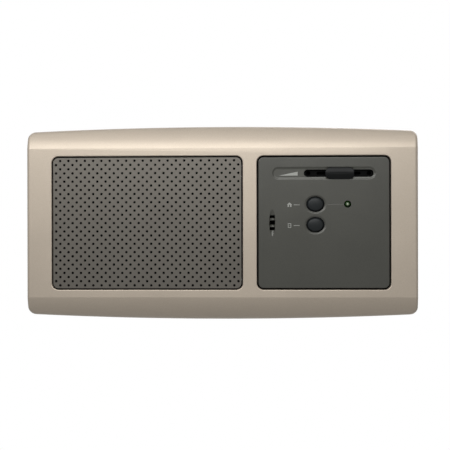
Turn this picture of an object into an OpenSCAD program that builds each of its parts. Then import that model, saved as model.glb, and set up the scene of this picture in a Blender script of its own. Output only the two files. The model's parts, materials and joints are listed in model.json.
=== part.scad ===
// Intercom room station for flush wall mounting, in millimetres.
// X runs to the right seen from the front, Z is up and the front faces -Y.
// The wall is the plane Y = 0, and the origin is the middle of the four wall screw holes.

/* [Frame] */
// Width of the front frame
body_w = 234; // [230:1:246]
// Height of the front frame at its middle
body_h = 116; // [112:0.2:120]
// Depth from the wall to the flat front of the frame
body_depth = 18; // [17:0.5:22]
// Rise of the bowed top and bottom edges
bow = 3.1; // [1.5:0.1:4]
// Corner radius of the outline
corner_r = 4.5; // [3.5:0.1:6]
// Height of the flat band between the two creases
flat_h = 89; // [86:0.5:92]
// Tilt of the rolled edge where it leaves the crease, in degrees
roll_start = 12; // [8:1:16]
// Tilt of the rolled edge at its outer rim, in degrees
roll_end = 55; // [45:1:60]
// Wall thickness of the frame
wall = 2.5; // [2:0.1:3]
// Width of the frame left of the grille opening
grille_border = 15; // [14:0.1:17]
// Width of the frame right of the panel opening
panel_border = 16; // [14:0.1:17]
// Width of the bar between the two openings
bar_w = 8.4; // [7:0.1:10]
// Width of the panel opening, while the grille opening takes the rest
panel_open_w = 79.8; // [78:0.1:92]
// Height of both openings
open_h = 80; // [79:0.5:83]
// Corner radius of both openings
open_r = 4; // [3:0.5:5]
// Gap all round between an opening and what sits in it
insert_gap = 0.9; // [0.6:0.1:1.2]
// How far the grille and the panel sit behind the flat front
insert_set = 0.4; // [0.1:0.1:1]
// Thickness of the stiffening rib round an opening
collar_t = 1.2; // [0.8:0.1:1.6]
// Depth of the stiffening rib, from the flat front
collar_depth = 5; // [4:0.5:5.5]
// Width of a snap hook
hook_w = 10; // [6:1:14]
// Thickness of a snap hook's arm
hook_t = 1.6; // [1.2:0.1:1.8]
// Thickness of a snap hook's barb
hook_barb = 1.2; // [0.8:0.1:1.4]
// Length of a snap hook's barb
hook_bite = 1.4; // [1:0.1:1.8]
// Distance from one snap hook to the next
hook_pitch = 84; // [60:1:90]

/* [Grille] */
// Thickness of the grille's sheet steel
sheet_t = 0.8; // [0.6:0.1:1]
// Diameter of a perforation
hole_d = 1.5; // [1:0.1:2]
// Distance between perforations in a row
hole_pitch = 4.98; // [4.6:0.02:6]
// Least distance from a perforation's centre to the grille's edge
hole_margin = 1.6; // [1.6:0.1:3]
// Depth of the grille pan
grille_depth = 6.2; // [5.6:0.1:6.8]
// Width of a fixing tab
tab_w = 6; // [4:0.5:8]
// Length of a fixing tab's bent end
tab_len = 4; // [2:0.5:6]
// Distance from a fixing tab to the top or bottom of the grille
tab_inset = 8; // [6:0.5:10]
// Thickness of the cloth behind the grille
cloth_t = 0.4; // [0.3:0.1:0.6]

/* [Chassis] */
// Thickness of the chassis plate
plate_t = 3; // [2.8:0.1:3.6]
// Gap between the chassis ends and the frame
chassis_gap = 0.5; // [0.3:0.1:0.8]
// Room above and below the chassis for the snap hooks
hook_room = 1.8; // [1.6:0.1:2.6]
// Corner radius of the chassis plate
chassis_r = 3; // [2:0.5:6]
// Thickness of the speaker baffle
baffle_t = 2.4; // [2:0.1:3]
// Wall thickness of the baffle box
baffle_wall = 2; // [1.6:0.1:2.4]
// Ledge of the baffle box round the grille
baffle_ledge = 3; // [2.6:0.1:3.4]
// Diameter of a wall screw hole
mount_hole_d = 4.5; // [3.5:0.1:5.5]
// Distance from the wall screw holes to the chassis ends
mount_inset = 5.5; // [4.5:0.1:6.5]
// Height between the wall screw holes
mount_dz = 72; // [60:1:84]
// Overlap of the chassis behind the panel's edge
window_rim = 5.5; // [4:0.5:7]
// Corner radius of the window behind the panel
window_r = 10; // [8:0.5:14]
// Height of the speaker screw bosses in front of the baffle
front_boss_h = 3.4; // [2.6:0.1:3.8]
// Wall of the speaker screw bosses
front_boss_t = 1.9; // [1.4:0.1:2.4]

/* [Speaker] */
// Width of the speaker's square flange
speaker_w = 77; // [74:0.5:78]
// Corner radius of the flange
speaker_r = 6; // [4:0.5:10]
// Distance from the speaker's screw holes to the flange's edges
speaker_hole_inset = 8; // [6.5:0.1:8.5]
// Least width of the gasket round the sound opening
gasket_ring = 5.5; // [4.5:0.1:6.5]
// Thickness of the speaker gasket
gasket_t = 1.5; // [1:0.1:2]
// Thickness of the basket's sheet steel
basket_t = 1; // [0.8:0.1:1.2]
// Least width of the flange round the basket
flange_ring = 7.5; // [7:0.1:8]
// Depth from the flange's rear to the spider ledge
basket_depth = 10.1; // [9:0.1:12]
// How far the basket narrows from the flange to the spider ledge
basket_taper = 7; // [6:0.1:8]
// Depth of the straight wall in front of the spider ledge
shoulder_depth = 2.5; // [2:0.1:3]
// Width of the spider ledge
ledge_w = 4; // [3:0.1:6]
// Depth of the basket's neck
neck_depth = 2.4; // [2:0.1:4]
// Turn that a rib between two windows of the basket takes up, in degrees
rib_turn = 24; // [20:1:50]
// Diameter of the pole
pole_d = 14; // [12:0.1:15]
// Clearance on each side of the voice coil
coil_gap = 0.45; // [0.4:0.05:0.6]
// Thickness of the voice coil with its former
coil_t = 0.5; // [0.4:0.05:0.7]
// Length of the voice coil
coil_len = 10; // [9:0.5:12]
// Diameter of the top plate
top_plate_d = 42; // [38:0.5:44]
// Thickness of the top plate
top_plate_t = 3; // [2:0.5:4]
// Clearance between the pole's gap and the magnet's bore
magnet_gap = 2.5; // [1:0.1:4]
// Diameter of the magnet
magnet_d = 50; // [46:0.5:54]
// Thickness of the magnet
magnet_t = 9; // [7:0.5:12]
// Diameter of the yoke plate
yoke_d = 43; // [40:0.5:46]
// Thickness of the yoke plate
yoke_t = 3; // [2:0.5:4]
// Width of the surround's roll
surround_w = 3.2; // [2.8:0.1:4]
// Width of the cone's flat rim
cone_rim = 1.4; // [1:0.1:1.8]
// Depth of the cone
cone_depth = 8.5; // [7:0.1:9]
// Thickness of the cone's paper
cone_t = 0.5; // [0.4:0.1:0.7]
// Radius of the dust cap
cap_r = 10; // [9.5:0.1:12]
// Height of the dust cap
cap_h = 3.5; // [2.5:0.1:4.5]
// Thickness of the surround and the spider
edge_t = 0.4; // [0.3:0.1:0.5]
// Number of flanks in the spider's waves
spider_flanks = 8; // [4:2:12]
// Width of the speaker's terminal strip
strip_w = 4; // [3:0.1:4.6]
// Height of the terminal strip
strip_h = 14; // [12:0.5:20]
// Thickness of the terminal strip
strip_t = 1; // [0.8:0.1:2]
// Distance from a lug to the middle of the strip
lug_dz = 4; // [3:0.1:5]
// Width of a lug
lug_w = 2; // [1.6:0.1:2.6]
// Thickness of a lug
lug_t = 0.5; // [0.4:0.1:0.8]
// Length of a lug
lug_len = 6; // [4:0.1:7]

/* [Control panel] */
// Thickness of the panel's front
panel_t = 2.5; // [2.3:0.1:3]
// Thickness of the panel's side walls
panel_wall = 1.8; // [1.4:0.1:1.8]
// Diameter of a corner boss
boss_d = 5.6; // [5:0.2:6.6]
// Distance from a corner boss to the panel's edges
boss_inset = 4.2; // [4:0.1:4.7]
// Diameter of a circuit board post
post_d = 5; // [4:0.2:6]
// Gap at each end of the engraved line
line_gap = 0.5; // [0.3:0.1:2]
// Width of the engraved line beside the upper button
line_w = 0.5; // [0.3:0.1:0.8]
// Depth of the engraved line
line_depth = 0.3; // [0.2:0.1:0.5]

/* [Volume slider] */
// Distance from the slider to the panel's top edge
volume_inset = 9.6; // [8:0.1:12]
// Distance from the recess to the panel's left edge
recess_inset = 8.3; // [6:0.1:12]
// Height of the recess
recess_h = 7.4; // [7:0.1:9]
// Depth of the recess
recess_depth = 0.7; // [0.5:0.1:1.2]
// Width of the recess's sloping sides
recess_slope = 1.1; // [0.6:0.1:1.3]
// Length of the slot
slot_w = 41.5; // [40:0.5:44]
// Height of the slot
slot_h = 4.4; // [4:0.1:5]
// Distance from the slot's end to the recess's end
slot_inset = 1.2; // [0.6:0.1:3]
// Travel of the slider
volume_travel = 20; // [15:0.5:22]
// Rest place of the knob, from the middle of its travel
knob_rest = 0.6; // [-2:0.1:2]
// Length of the knob
knob_w = 17.2; // [14:0.1:18]
// Height of the knob
knob_h = 7.2; // [6.8:0.1:8.2]
// Corner radius of the knob
knob_r = 3.2; // [2:0.1:3.4]
// How far the knob stands out of the panel
knob_proud = 1.5; // [1:0.1:3]
// Radius of the knob's crown
knob_crown_r = 8; // [7:0.1:12]
// Length of the knob's tongue in the slot
tongue_w = 8; // [6:0.5:10]
// Length of the potentiometer
pot_len = 44.4; // [44:0.1:48]
// Height of the potentiometer's body
pot_w = 8.6; // [7.6:0.1:9.4]
// Depth of the potentiometer
pot_depth = 6.5; // [6:0.1:7]
// Thickness of the potentiometer's sheet steel
pot_t = 0.8; // [0.5:0.1:1]
// Gap between the potentiometer and the panel's corner boss
pot_gap = 0.9; // [0.5:0.05:2]
// Distance from the potentiometer's two holes to its ends
pot_hole_inset = 4.15; // [4:0.05:5.5]
// Diameter of the potentiometer's holes
pot_hole_d = 2.6; // [1.6:0.1:3]
// Thickness of the potentiometer's base
pot_base_t = 1.2; // [0.8:0.1:1.6]
// Width of the lever
lever_w = 4.4; // [3:0.1:5]
// Thickness of the lever
lever_t = 1.2; // [0.8:0.1:1.6]
// How far the lever reaches into the knob
lever_grip = 1; // [0.6:0.1:1.2]
// Length of the carriage under the lever
carriage_len = 9; // [6:0.5:12]

/* [Buttons] */
// Place of the buttons left of the panel's middle
button_dx = 5; // [2:0.25:8]
// Height of the upper button above the panel's middle
button_z = 11; // [10:0.1:13]
// Distance between the two buttons
button_pitch = 12.3; // [12.2:0.1:14]
// Width of a button
button_w = 10.2; // [9:0.1:10.4]
// Height of a button
button_h = 8.6; // [7.6:0.1:8.8]
// Gap round a button
button_gap = 0.4; // [0.3:0.05:0.6]
// Width of the dished surround
dish_w = 1.2; // [0.6:0.1:1.2]
// Depth of the dished surround
dish_depth = 0.5; // [0.3:0.1:1]
// How far a button stands out of the panel
button_proud = 0.4; // [0:0.1:1.2]
// Rise of a button's crown
button_crown = 0.9; // [0.4:0.1:1.2]
// Width of a button's flange beyond its hole
button_flange = 0.8; // [0.5:0.1:0.9]
// Thickness of a button's flange
button_flange_t = 1; // [0.8:0.1:1.1]
// Travel of a button
button_travel = 1.2; // [0.8:0.1:1.2]
// Diameter of a button's stem
stem_d = 4; // [3:0.1:5]
// Width of a switch body
switch_w = 6.2; // [5.8:0.1:7]
// Height left under a switch's snap dome when it is pressed
dome_rest = 0.3; // [0.1:0.05:0.5]
// Thickness of a switch body's walls
switch_t = 0.6; // [0.4:0.1:0.7]
// Diameter of a switch plunger
plunger_d = 3; // [2.4:0.1:3.2]
// Width of a plunger's rim inside its switch
plunger_rim = 0.5; // [0.4:0.1:0.6]
// Thickness of a plunger's rim
plunger_rim_t = 0.6; // [0.4:0.1:0.7]
// Thickness of a switch's snap dome
dome_t = 0.15; // [0.1:0.05:0.2]

/* [Indicator and microphone] */
// Place of the indicator right of the panel's middle
lamp_dx = 14.15; // [10:0.05:20]
// Height of the indicator above the panel's middle
lamp_z = 11; // [9:0.1:14]
// Diameter of the indicator's lens
lamp_d = 3.9; // [3:0.1:5]
// Gap round the indicator
lamp_gap = 0.2; // [0.1:0.05:0.4]
// How far the indicator stands out of the panel
lamp_proud = 0.3; // [0:0.1:1.5]
// Width of the indicator's base flange
lamp_flange = 0.6; // [0.4:0.1:1]
// Thickness of the indicator's base flange
lamp_flange_t = 1; // [0.6:0.1:1.4]
// Length of the indicator's lens
lamp_len = 5.6; // [5:0.1:6.2]
// Thickness of an indicator lead
lead_t = 0.5; // [0.4:0.05:0.6]
// Distance between the leads of the indicator
lead_pitch = 1.3; // [1:0.1:1.6]
// Gap between the microphone's boot and the panel's left wall
mic_gap = 0.4; // [0.2:0.05:1]
// Height of the microphone above the panel's middle
mic_z = 0; // [-4:0.25:4]
// Length of the scoop in front of the microphone
scoop_len = 16.2; // [13:0.1:20]
// Width of the scoop
scoop_w = 3.9; // [3:0.1:5]
// Depth of the scoop
scoop_depth = 1.2; // [0.8:0.1:1.5]
// Width of a sound slot
mic_slot_w = 3; // [2:0.1:3.4]
// Height of the outer sound slots
mic_slot_h = 1.5; // [1:0.1:2]
// Height of the middle sound slot
mic_slot_mid = 2.2; // [1:0.1:2.6]
// Distance between the sound slots
mic_slot_pitch = 3.6; // [3:0.1:3.8]
// Diameter of the microphone capsule
mic_d = 9.6; // [9.4:0.1:9.8]
// Height of the microphone capsule
mic_h = 4.5; // [3:0.1:5]
// Wall thickness of the microphone's boot
boot_t = 1.2; // [0.8:0.1:1.2]
// Thickness of the boot's front lip
boot_lip = 1; // [0.6:0.1:1.4]
// Overlap of the boot's front lip on the capsule
boot_grip = 0.3; // [0.2:0.1:0.4]
// Distance between the microphone's pins
pin_pitch = 2.5; // [2:0.1:4]

/* [Circuit board] */
// Thickness of the circuit board
board_t = 1.6; // [1.2:0.1:2]
// Gap between the board and the panel's walls
board_gap = 0.5; // [0.3:0.1:1]
// Distance from the board's screws to its sides
board_hole_inset = 5; // [4:0.1:6]
// Distance from the board's screws to its top and bottom edges
board_hole_drop = 17.3; // [16:0.1:20]
// Distance between two terminals
terminal_pitch = 5; // [4.5:0.1:5.5]
// Number of terminals
terminal_count = 6; // [4:1:8]
// Depth of the terminal block
terminal_w = 8.4; // [7.6:0.1:9]
// Height of the terminal block above the board
terminal_h = 10; // [9:0.1:12]
// Place of the terminal block right of the panel's middle
terminal_x = 2; // [-6:0.5:8]
// Place of the terminal block below the panel's middle
terminal_z = 20; // [17:0.5:21]
// Diameter of a terminal screw
terminal_screw_d = 3.4; // [2.6:0.1:3.8]
// Thickness of a terminal screw's head
terminal_screw_h = 2.5; // [1.5:0.1:2.8]
// Depth of a terminal's screw well
terminal_well = 3.3; // [3:0.1:3.8]
// Thickness of the terminal block's walls
terminal_t = 0.8; // [0.6:0.1:1]
// Height of a wire entry's floor above the board
entry_floor = 1.6; // [1:0.1:2]
// Length of a chip
chip_len = 10; // [9:0.5:12]
// Width of the amplifier chip
amplifier_w = 6.4; // [5:0.1:7]
// Width of the logic chip
logic_w = 4.2; // [3:0.1:5]
// Thickness of a chip
chip_t = 3; // [1.5:0.1:3.5]
// Gap between a chip and the board
chip_stand = 0.5; // [0.3:0.1:0.8]
// Width of a chip's leg
leg_w = 0.5; // [0.4:0.1:0.7]
// Diameter of a filter capacitor
capacitor_d = 8; // [6:0.1:8.4]
// Length of a filter capacitor
capacitor_len = 11; // [8:0.5:13]
// Depth of the rolled groove round a capacitor
groove = 0.5; // [0.3:0.1:0.8]
// Distance of that groove from the board
groove_at = 1.5; // [1.2:0.1:2.4]
// Length of a resistor's body
resistor_len = 6; // [5:0.1:7]
// Diameter of a resistor's body
resistor_d = 2.2; // [1.6:0.1:2.4]
// Reach of a resistor's lead before it bends down
lead_reach = 1.2; // [0.8:0.1:1.6]
// Width of the speaker connector
connector_w = 7.6; // [7:0.1:8.4]
// Depth of the speaker connector
connector_d = 5.8; // [5.4:0.1:6.6]
// Height of the speaker connector
connector_h = 4.2; // [3.6:0.1:5]
// Wall thickness of the speaker connector
connector_t = 0.7; // [0.5:0.1:0.9]
// Height of the speaker plug
plug_h = 7; // [6:0.1:8]
// Diameter of a speaker lead
wire_d = 1.4; // [1:0.1:1.6]
// Distance between the leads at the plug
lead_gap = 2.5; // [2:0.1:3]

/* [Fasteners] */
// Diameter of the larger screws' shanks
screw_d = 2.6; // [2:0.1:2.8]
// Head diameter of the larger screws
screw_head_d = 5.4; // [4.6:0.1:5.6]
// Head height of the larger screws
screw_head_h = 1.5; // [1.2:0.1:1.6]
// Length of the larger screws
screw_len = 7; // [6:0.5:8]
// Diameter of the board screws' shanks
small_screw_d = 1.9; // [1.5:0.1:2.2]
// Head diameter of the board screws
small_head_d = 3.8; // [3.2:0.1:4.2]
// Head height of the board screws
small_head_h = 1.3; // [1:0.1:1.5]
// Length of the board screws
small_screw_len = 6; // [5:0.5:6.5]
// Width of a screw's drive slot
drive_w = 0.7; // [0.5:0.1:0.9]
// Turn of the terminal screws' drive slots, in degrees
drive_turn = 30; // [0:5:90]

/* [Clearances] */
// Clearance of a piece that seats inside another
fit = 0.1; // [0.05:0.05:0.2]
// Clearance of a piece that slides or moves inside another
slide = 0.3; // [0.2:0.05:0.4]
// Clearance on the radius of a hole that a screw passes through
screw_gap = 0.35; // [0.2:0.05:0.5]

/* [Hidden] */
$fn = 64;

// Overshoot of a cut past the face it goes through
cut = 1;

// Planes along the depth
front_y = -body_depth;
insert_y = front_y + insert_set;
plate_y = -plate_t;
baffle_y = insert_y + grille_depth;
baffle_back_y = baffle_y + baffle_t;
panel_back_y = insert_y + panel_t;
recess_y = insert_y + recess_depth;
pot_y = panel_back_y + 2*fit;
board_y = pot_y + pot_depth;
board_back_y = board_y + board_t;

// Openings and what sits in them
grille_open_w = body_w - grille_border - panel_border - bar_w - panel_open_w;
grille_x = -body_w/2 + grille_border + grille_open_w/2;
panel_x = body_w/2 - panel_border - panel_open_w/2;
grille_w = grille_open_w - 2*insert_gap;
panel_w = panel_open_w - 2*insert_gap;
insert_h = open_h - 2*insert_gap;
insert_r = open_r - insert_gap;

// Bowed outline and rolled edge of the frame
least_r = 0.5;
bow_r = (body_w*body_w/4 + bow*bow)/(2*bow);
roll_r = (body_h - flat_h)/2/(sin(roll_end) - sin(roll_start));
roll_axis_y = front_y + roll_r*cos(roll_start);
roll_axis_z = flat_h/2 - roll_r*sin(roll_start);

// Chassis, hooks and mounts
chassis_w = body_w - 2*wall - 2*chassis_gap;
chassis_h = body_h - 2*bow - 2*wall - 2*hook_room;
hook_z = chassis_h/2 + slide;
hook_end_y = -slide;
hook_mid_z = hook_z + hook_t/2;
hook_root_y = roll_axis_y - sqrt(pow(roll_r - wall/2, 2) - pow(hook_mid_z - roll_axis_z, 2));
mount_dx = chassis_w - 2*mount_inset;
box_w = grille_w + 2*baffle_ledge;
box_h = max(insert_h + 2*baffle_ledge, speaker_w + 2*slide + 2*baffle_wall);
box_r = insert_r + baffle_ledge;
window_w = panel_w - 2*window_rim;
window_h = insert_h - 2*window_rim;

// Speaker, measured backwards from the rear of the baffle
sound_open_d = speaker_w - 2*gasket_ring;
rim_r = speaker_w/2 - flange_ring;
ledge_r = rim_r - basket_taper;
neck_r = ledge_r - ledge_w;
cone_r = rim_r - surround_w;
basket_window_w = 2*ledge_r*sin(45 - rib_turn/2);
flange_s = gasket_t;
flange_back_s = flange_s + basket_t;
ledge_s = flange_back_s + basket_depth;
shoulder_s = ledge_s - shoulder_depth;
motor_s = ledge_s + neck_depth;
magnet_s = motor_s + top_plate_t;
yoke_s = magnet_s + magnet_t;
back_s = yoke_s + yoke_t;
coil_in_r = pole_d/2 + coil_gap;
coil_out_r = coil_in_r + coil_t;
plate_bore_r = coil_out_r + coil_gap;
magnet_bore_r = plate_bore_r + magnet_gap;
cone_neck_s = flange_s + cone_depth;
cone_slope = cone_depth/(cone_r - cone_rim - coil_out_r);
speaker_screw_x = speaker_w/2 - speaker_hole_inset;
strip_x = (rim_r + 3*basket_t + speaker_w/2)/2;

// Control panel, measured from its middle
corner_x = panel_w/2 - boss_inset;
corner_z = insert_h/2 - boss_inset;
volume_z = insert_h/2 - volume_inset;
slot_x = corner_x - boss_d/2 - pot_gap - pot_len/2;
recess_x0 = -panel_w/2 + recess_inset;
recess_x1 = slot_x + slot_w/2 + slot_inset;
pot_hole_dx = pot_len - 2*pot_hole_inset;
knob_x = panel_x + slot_x + knob_rest;
lever_top_y = recess_y - slide - lever_grip;
carriage_y = pot_y + pot_t + slide;
carriage_back_y = board_y - pot_base_t - slide;
button_hole_w = button_w + 2*button_gap;
button_hole_h = button_h + 2*button_gap;
button_top_y = insert_y - button_proud;
button_crown_rad = (button_w*button_w/4 + button_crown*button_crown)/(2*button_crown);
button_flange_y = panel_back_y + 2*fit;
button_stem_y = button_flange_y + button_flange_t;
switch_h = 2*switch_t + 2*fit + plunger_rim_t + button_travel + dome_rest;
switch_y = board_y - switch_h;
plunger_top_y = button_stem_y + fit;
house_z = button_z;
door_z = button_z - button_pitch;
scoop_rad = (scoop_w*scoop_w/4/scoop_depth + scoop_depth)/2;
scoop_axis = scoop_rad - scoop_depth;
scoop_arc_r = (scoop_len*scoop_len/4 + scoop_depth*scoop_depth)/(2*scoop_depth);
boot_in_d = mic_d + 2*fit;
boot_d = boot_in_d + 2*boot_t;
mic_x = -panel_w/2 + panel_wall + mic_gap + boot_d/2;

// Circuit board, measured from the panel's middle
board_w = panel_w - 2*panel_wall - 2*board_gap;
board_h = insert_h - 2*panel_wall - 2*board_gap;
board_hole_x = board_w/2 - board_hole_inset;
board_hole_z = board_h/2 - board_hole_drop;
notch_x = corner_x - boss_d/2 - board_gap;
notch_z = corner_z - boss_d/2 - board_gap;
terminal_len = terminal_count*terminal_pitch + terminal_t;
plug_w = connector_w - 2*connector_t - 2*fit;
plug_d = connector_d - 2*connector_t - 2*fit;
plug_back_y = board_back_y + connector_t + plug_h;

// Places of the pieces on the board, from the middle of its left edge
board_x0 = -board_w/2;
amplifier_at = [24.5, 7];
logic_at = [42, 5];
capacitors_at = [[15.5, -5], [26, -5], [56, 9]];
resistors_at = [[37.5, -5], [41.5, -5], [45.5, -5], [49.5, -5], [53.5, -5]];
connector_at = [13.5, 17];

// Routes of the two speaker leads, from a lug to the plug, bowed back into the wall box
lug_x = grille_x + strip_x;
lug_end_y = baffle_back_y + flange_back_s + strip_t + lug_len;
plug_x = panel_x + board_x0 + connector_at[0];
plug_z = connector_at[1];
red_x = plug_x - lead_gap/2;
black_x = plug_x + lead_gap/2;
red_route = [[lug_x, lug_end_y, lug_dz], [lug_x, 3, lug_dz], [lug_x, 5, lug_dz], [lug_x + 3.5, 8, 5],
    [lug_x + 11.5, 10, 7], [plug_x - 23, 10, 10], [plug_x - 12, 9, 14], [plug_x - 4, 8, 16.5],
    [red_x, 6, plug_z], [red_x, 4, plug_z], [red_x, plug_back_y, plug_z]];
black_route = [[lug_x, lug_end_y, -lug_dz], [lug_x, 3, -lug_dz], [lug_x, 5, -lug_dz], [lug_x + 3.5, 9, -3],
    [lug_x + 11.5, 12, 1], [plug_x - 22, 13, 7], [plug_x - 10, 12, 13], [plug_x - 1, 10, 16.5],
    [black_x, 7, plug_z], [black_x, 5, plug_z], [black_x, plug_back_y, plug_z]];

// A drawing in X and Z, made solid between two planes along the depth
module between(y0, y1) {
    translate([0, y1, 0]) rotate([90, 0, 0]) linear_extrude(y1 - y0) children();
}

// A solid of revolution about the depth axis, drawn as radius and depth
module turned() {
    rotate([-90, 0, 0]) rotate_extrude($fn = 120) children();
}

module rounded_rect(w, h, r) {
    square([w - 2*r, h], center = true);
    square([w, h - 2*r], center = true);
    for (sx = [-1, 1], sz = [-1, 1])
        translate([sx*(w/2 - r), sz*(h/2 - r)]) circle(r = r);
}

module stadium(w, h) {
    square([w - h, h], center = true);
    for (sx = [-1, 1]) translate([sx*(w - h)/2, 0]) circle(d = h);
}

module oval(w, h) {
    scale([1, h/w]) circle(d = w);
}

module four(dx, dz) {
    for (sx = [-1, 1], sz = [-1, 1]) translate([sx*dx, 0, sz*dz]) children();
}

// A pan head screw whose head seats on the plane y and whose shank points to the front
module screw(y, d, head_d, head_h, len) {
    difference() {
        union() {
            between(y, y + head_h) circle(d = head_d);
            between(y - len, y + head_h/2) circle(d = d);
        }
        between(y + head_h/2, y + head_h + cut) square([head_d + cut, drive_w], center = true);
    }
}

// A smooth curve through the points of a route
function curve_at(p, i, t) =
    let (a = p[max(i - 1, 0)], b = p[i], c = p[i + 1], d = p[min(i + 2, len(p) - 1)])
    (2*b + (c - a)*t + (2*a - 5*b + 4*c - d)*t*t + (3*b - a - 3*c + d)*t*t*t)/2;
function curve(p, steps) =
    concat([for (i = [0:len(p) - 2], k = [0:steps - 1]) curve_at(p, i, k/steps)], [p[len(p) - 1]]);
function unit(v) = v/norm(v);
function heading(p, i) = unit(p[min(i + 1, len(p) - 1)] - p[max(i - 1, 0)]);
function ring(p, i, r, sides) =
    let (side = unit(cross(heading(p, i), [0, 0, 1])), rise = cross(side, heading(p, i)))
    [for (k = [0:sides - 1]) p[i] + r*(cos(360*k/sides)*side + sin(360*k/sides)*rise)];

// A wire swept along a route
module wire(route, d, steps = 3, sides = 8) {
    path = curve(route, steps);
    last = len(path) - 1;
    points = [for (i = [0:last]) each ring(path, i, d/2, sides)];
    walls = [for (i = [0:last - 1], k = [0:sides - 1])
        let (a = i*sides + k, b = i*sides + (k + 1) % sides)
        each [[a, b, b + sides], [a, b + sides, a + sides]]];
    near_end = [for (k = [sides - 1:-1:0]) k];
    far_end = [for (k = [0:sides - 1]) last*sides + k];
    polyhedron(points, concat(walls, [near_end, far_end]));
}

// Outline of the frame, drawn in by an inset
module frame_outline(inset) {
    half_w = body_w/2 - inset;
    r = max(corner_r - inset, least_r);
    big_r = bow_r - inset;
    big_z = body_h/2 - bow_r;
    corner_cx = half_w - r;
    corner_cz = big_z + sqrt((big_r - r)*(big_r - r) - corner_cx*corner_cx);
    tangent_x = big_r*sin(asin(corner_cx/(big_r - r)));
    intersection() {
        square([2*tangent_x, 2*body_h], center = true);
        translate([0, big_z]) circle(r = big_r, $fn = 360);
        translate([0, -big_z]) circle(r = big_r, $fn = 360);
    }
    square([2*half_w, 2*corner_cz], center = true);
    for (sx = [-1, 1], sz = [-1, 1]) translate([sx*corner_cx, sz*corner_cz]) circle(r = r);
}

// Everything behind the flat front and its two rolled edges, drawn in by an inset
module frame_section(inset) {
    r = roll_r - inset;
    face_y = front_y + inset;
    crease_z = roll_axis_z + sqrt(r*r - pow(roll_axis_y - face_y, 2));
    translate([-body_w, face_y, -crease_z]) cube([2*body_w, cut - face_y, 2*crease_z]);
    for (side = [0, 1]) mirror([0, 0, side]) intersection() {
        translate([0, roll_axis_y, roll_axis_z]) rotate([0, 90, 0])
            cylinder(r = r, h = 2*body_w, center = true, $fn = 180);
        translate([-body_w, face_y, crease_z]) cube([2*body_w, cut - face_y, body_h]);
    }
}

module openings(grow) {
    translate([grille_x, 0]) rounded_rect(grille_open_w + 2*grow, open_h + 2*grow, open_r + grow);
    translate([panel_x, 0]) rounded_rect(panel_open_w + 2*grow, open_h + 2*grow, open_r + grow);
}

module snap_hooks() {
    for (i = [-1:1], side = [0, 1]) mirror([0, 0, side]) translate([i*hook_pitch - hook_w/2, 0, hook_z]) {
        translate([0, hook_root_y, 0]) cube([hook_w, hook_end_y - hook_root_y, hook_t]);
        translate([0, hook_end_y - hook_barb, -hook_bite]) cube([hook_w, hook_barb, hook_bite + hook_t/2]);
    }
}

module front_frame() {
    color([0.72, 0.67, 0.60]) difference() {
        union() {
            difference() {
                intersection() {
                    frame_section(0);
                    between(front_y - cut, 0) frame_outline(0);
                }
                intersection() {
                    frame_section(wall);
                    between(front_y, cut) frame_outline(wall);
                }
            }
            between(front_y + wall/2, front_y + collar_depth) openings(collar_t);
            snap_hooks();
        }
        between(front_y - cut, front_y + collar_depth + cut) openings(0);
    }
}

// Staggered rows of perforations
module perforations() {
    step = hole_pitch/2;
    columns = floor((grille_w/2 - hole_margin)/step);
    rows = floor((insert_h/2 - hole_margin)/step);
    for (i = [-columns:columns], j = [-rows:rows])
        if ((i + j) % 2 == 0) translate([i*step, j*step]) circle(d = hole_d, $fn = 24);
}

module grille_tabs(across, along) {
    for (sx = [-1, 1], sz = [-1, 1])
        translate([sx*(grille_w/2 - sheet_t/2), sz*(insert_h/2 - tab_inset)])
            square([sheet_t + 2*across, tab_w + 2*along], center = true);
}

module speaker_grille() {
    color([0.36, 0.35, 0.33]) translate([grille_x, 0, 0]) difference() {
        union() {
            between(insert_y, insert_y + sheet_t) rounded_rect(grille_w, insert_h, insert_r);
            between(insert_y, baffle_y) difference() {
                rounded_rect(grille_w, insert_h, insert_r);
                rounded_rect(grille_w - 2*sheet_t, insert_h - 2*sheet_t, insert_r - sheet_t);
            }
            between(baffle_y - sheet_t, baffle_back_y + sheet_t) grille_tabs(0, 0);
            between(baffle_back_y, baffle_back_y + sheet_t) for (sx = [-1, 1], sz = [-1, 1])
                translate([sx*(grille_w/2 - tab_len/2), sz*(insert_h/2 - tab_inset)])
                    square([tab_len, tab_w], center = true);
        }
        between(insert_y - cut, insert_y + sheet_t + cut) perforations();
    }
}

module grille_cloth() {
    inset = sheet_t + fit;
    color([0.05, 0.05, 0.05]) translate([grille_x, 0, 0])
        between(insert_y + sheet_t, insert_y + sheet_t + cloth_t)
            rounded_rect(grille_w - 2*inset, insert_h - 2*inset, insert_r - inset);
}

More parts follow.
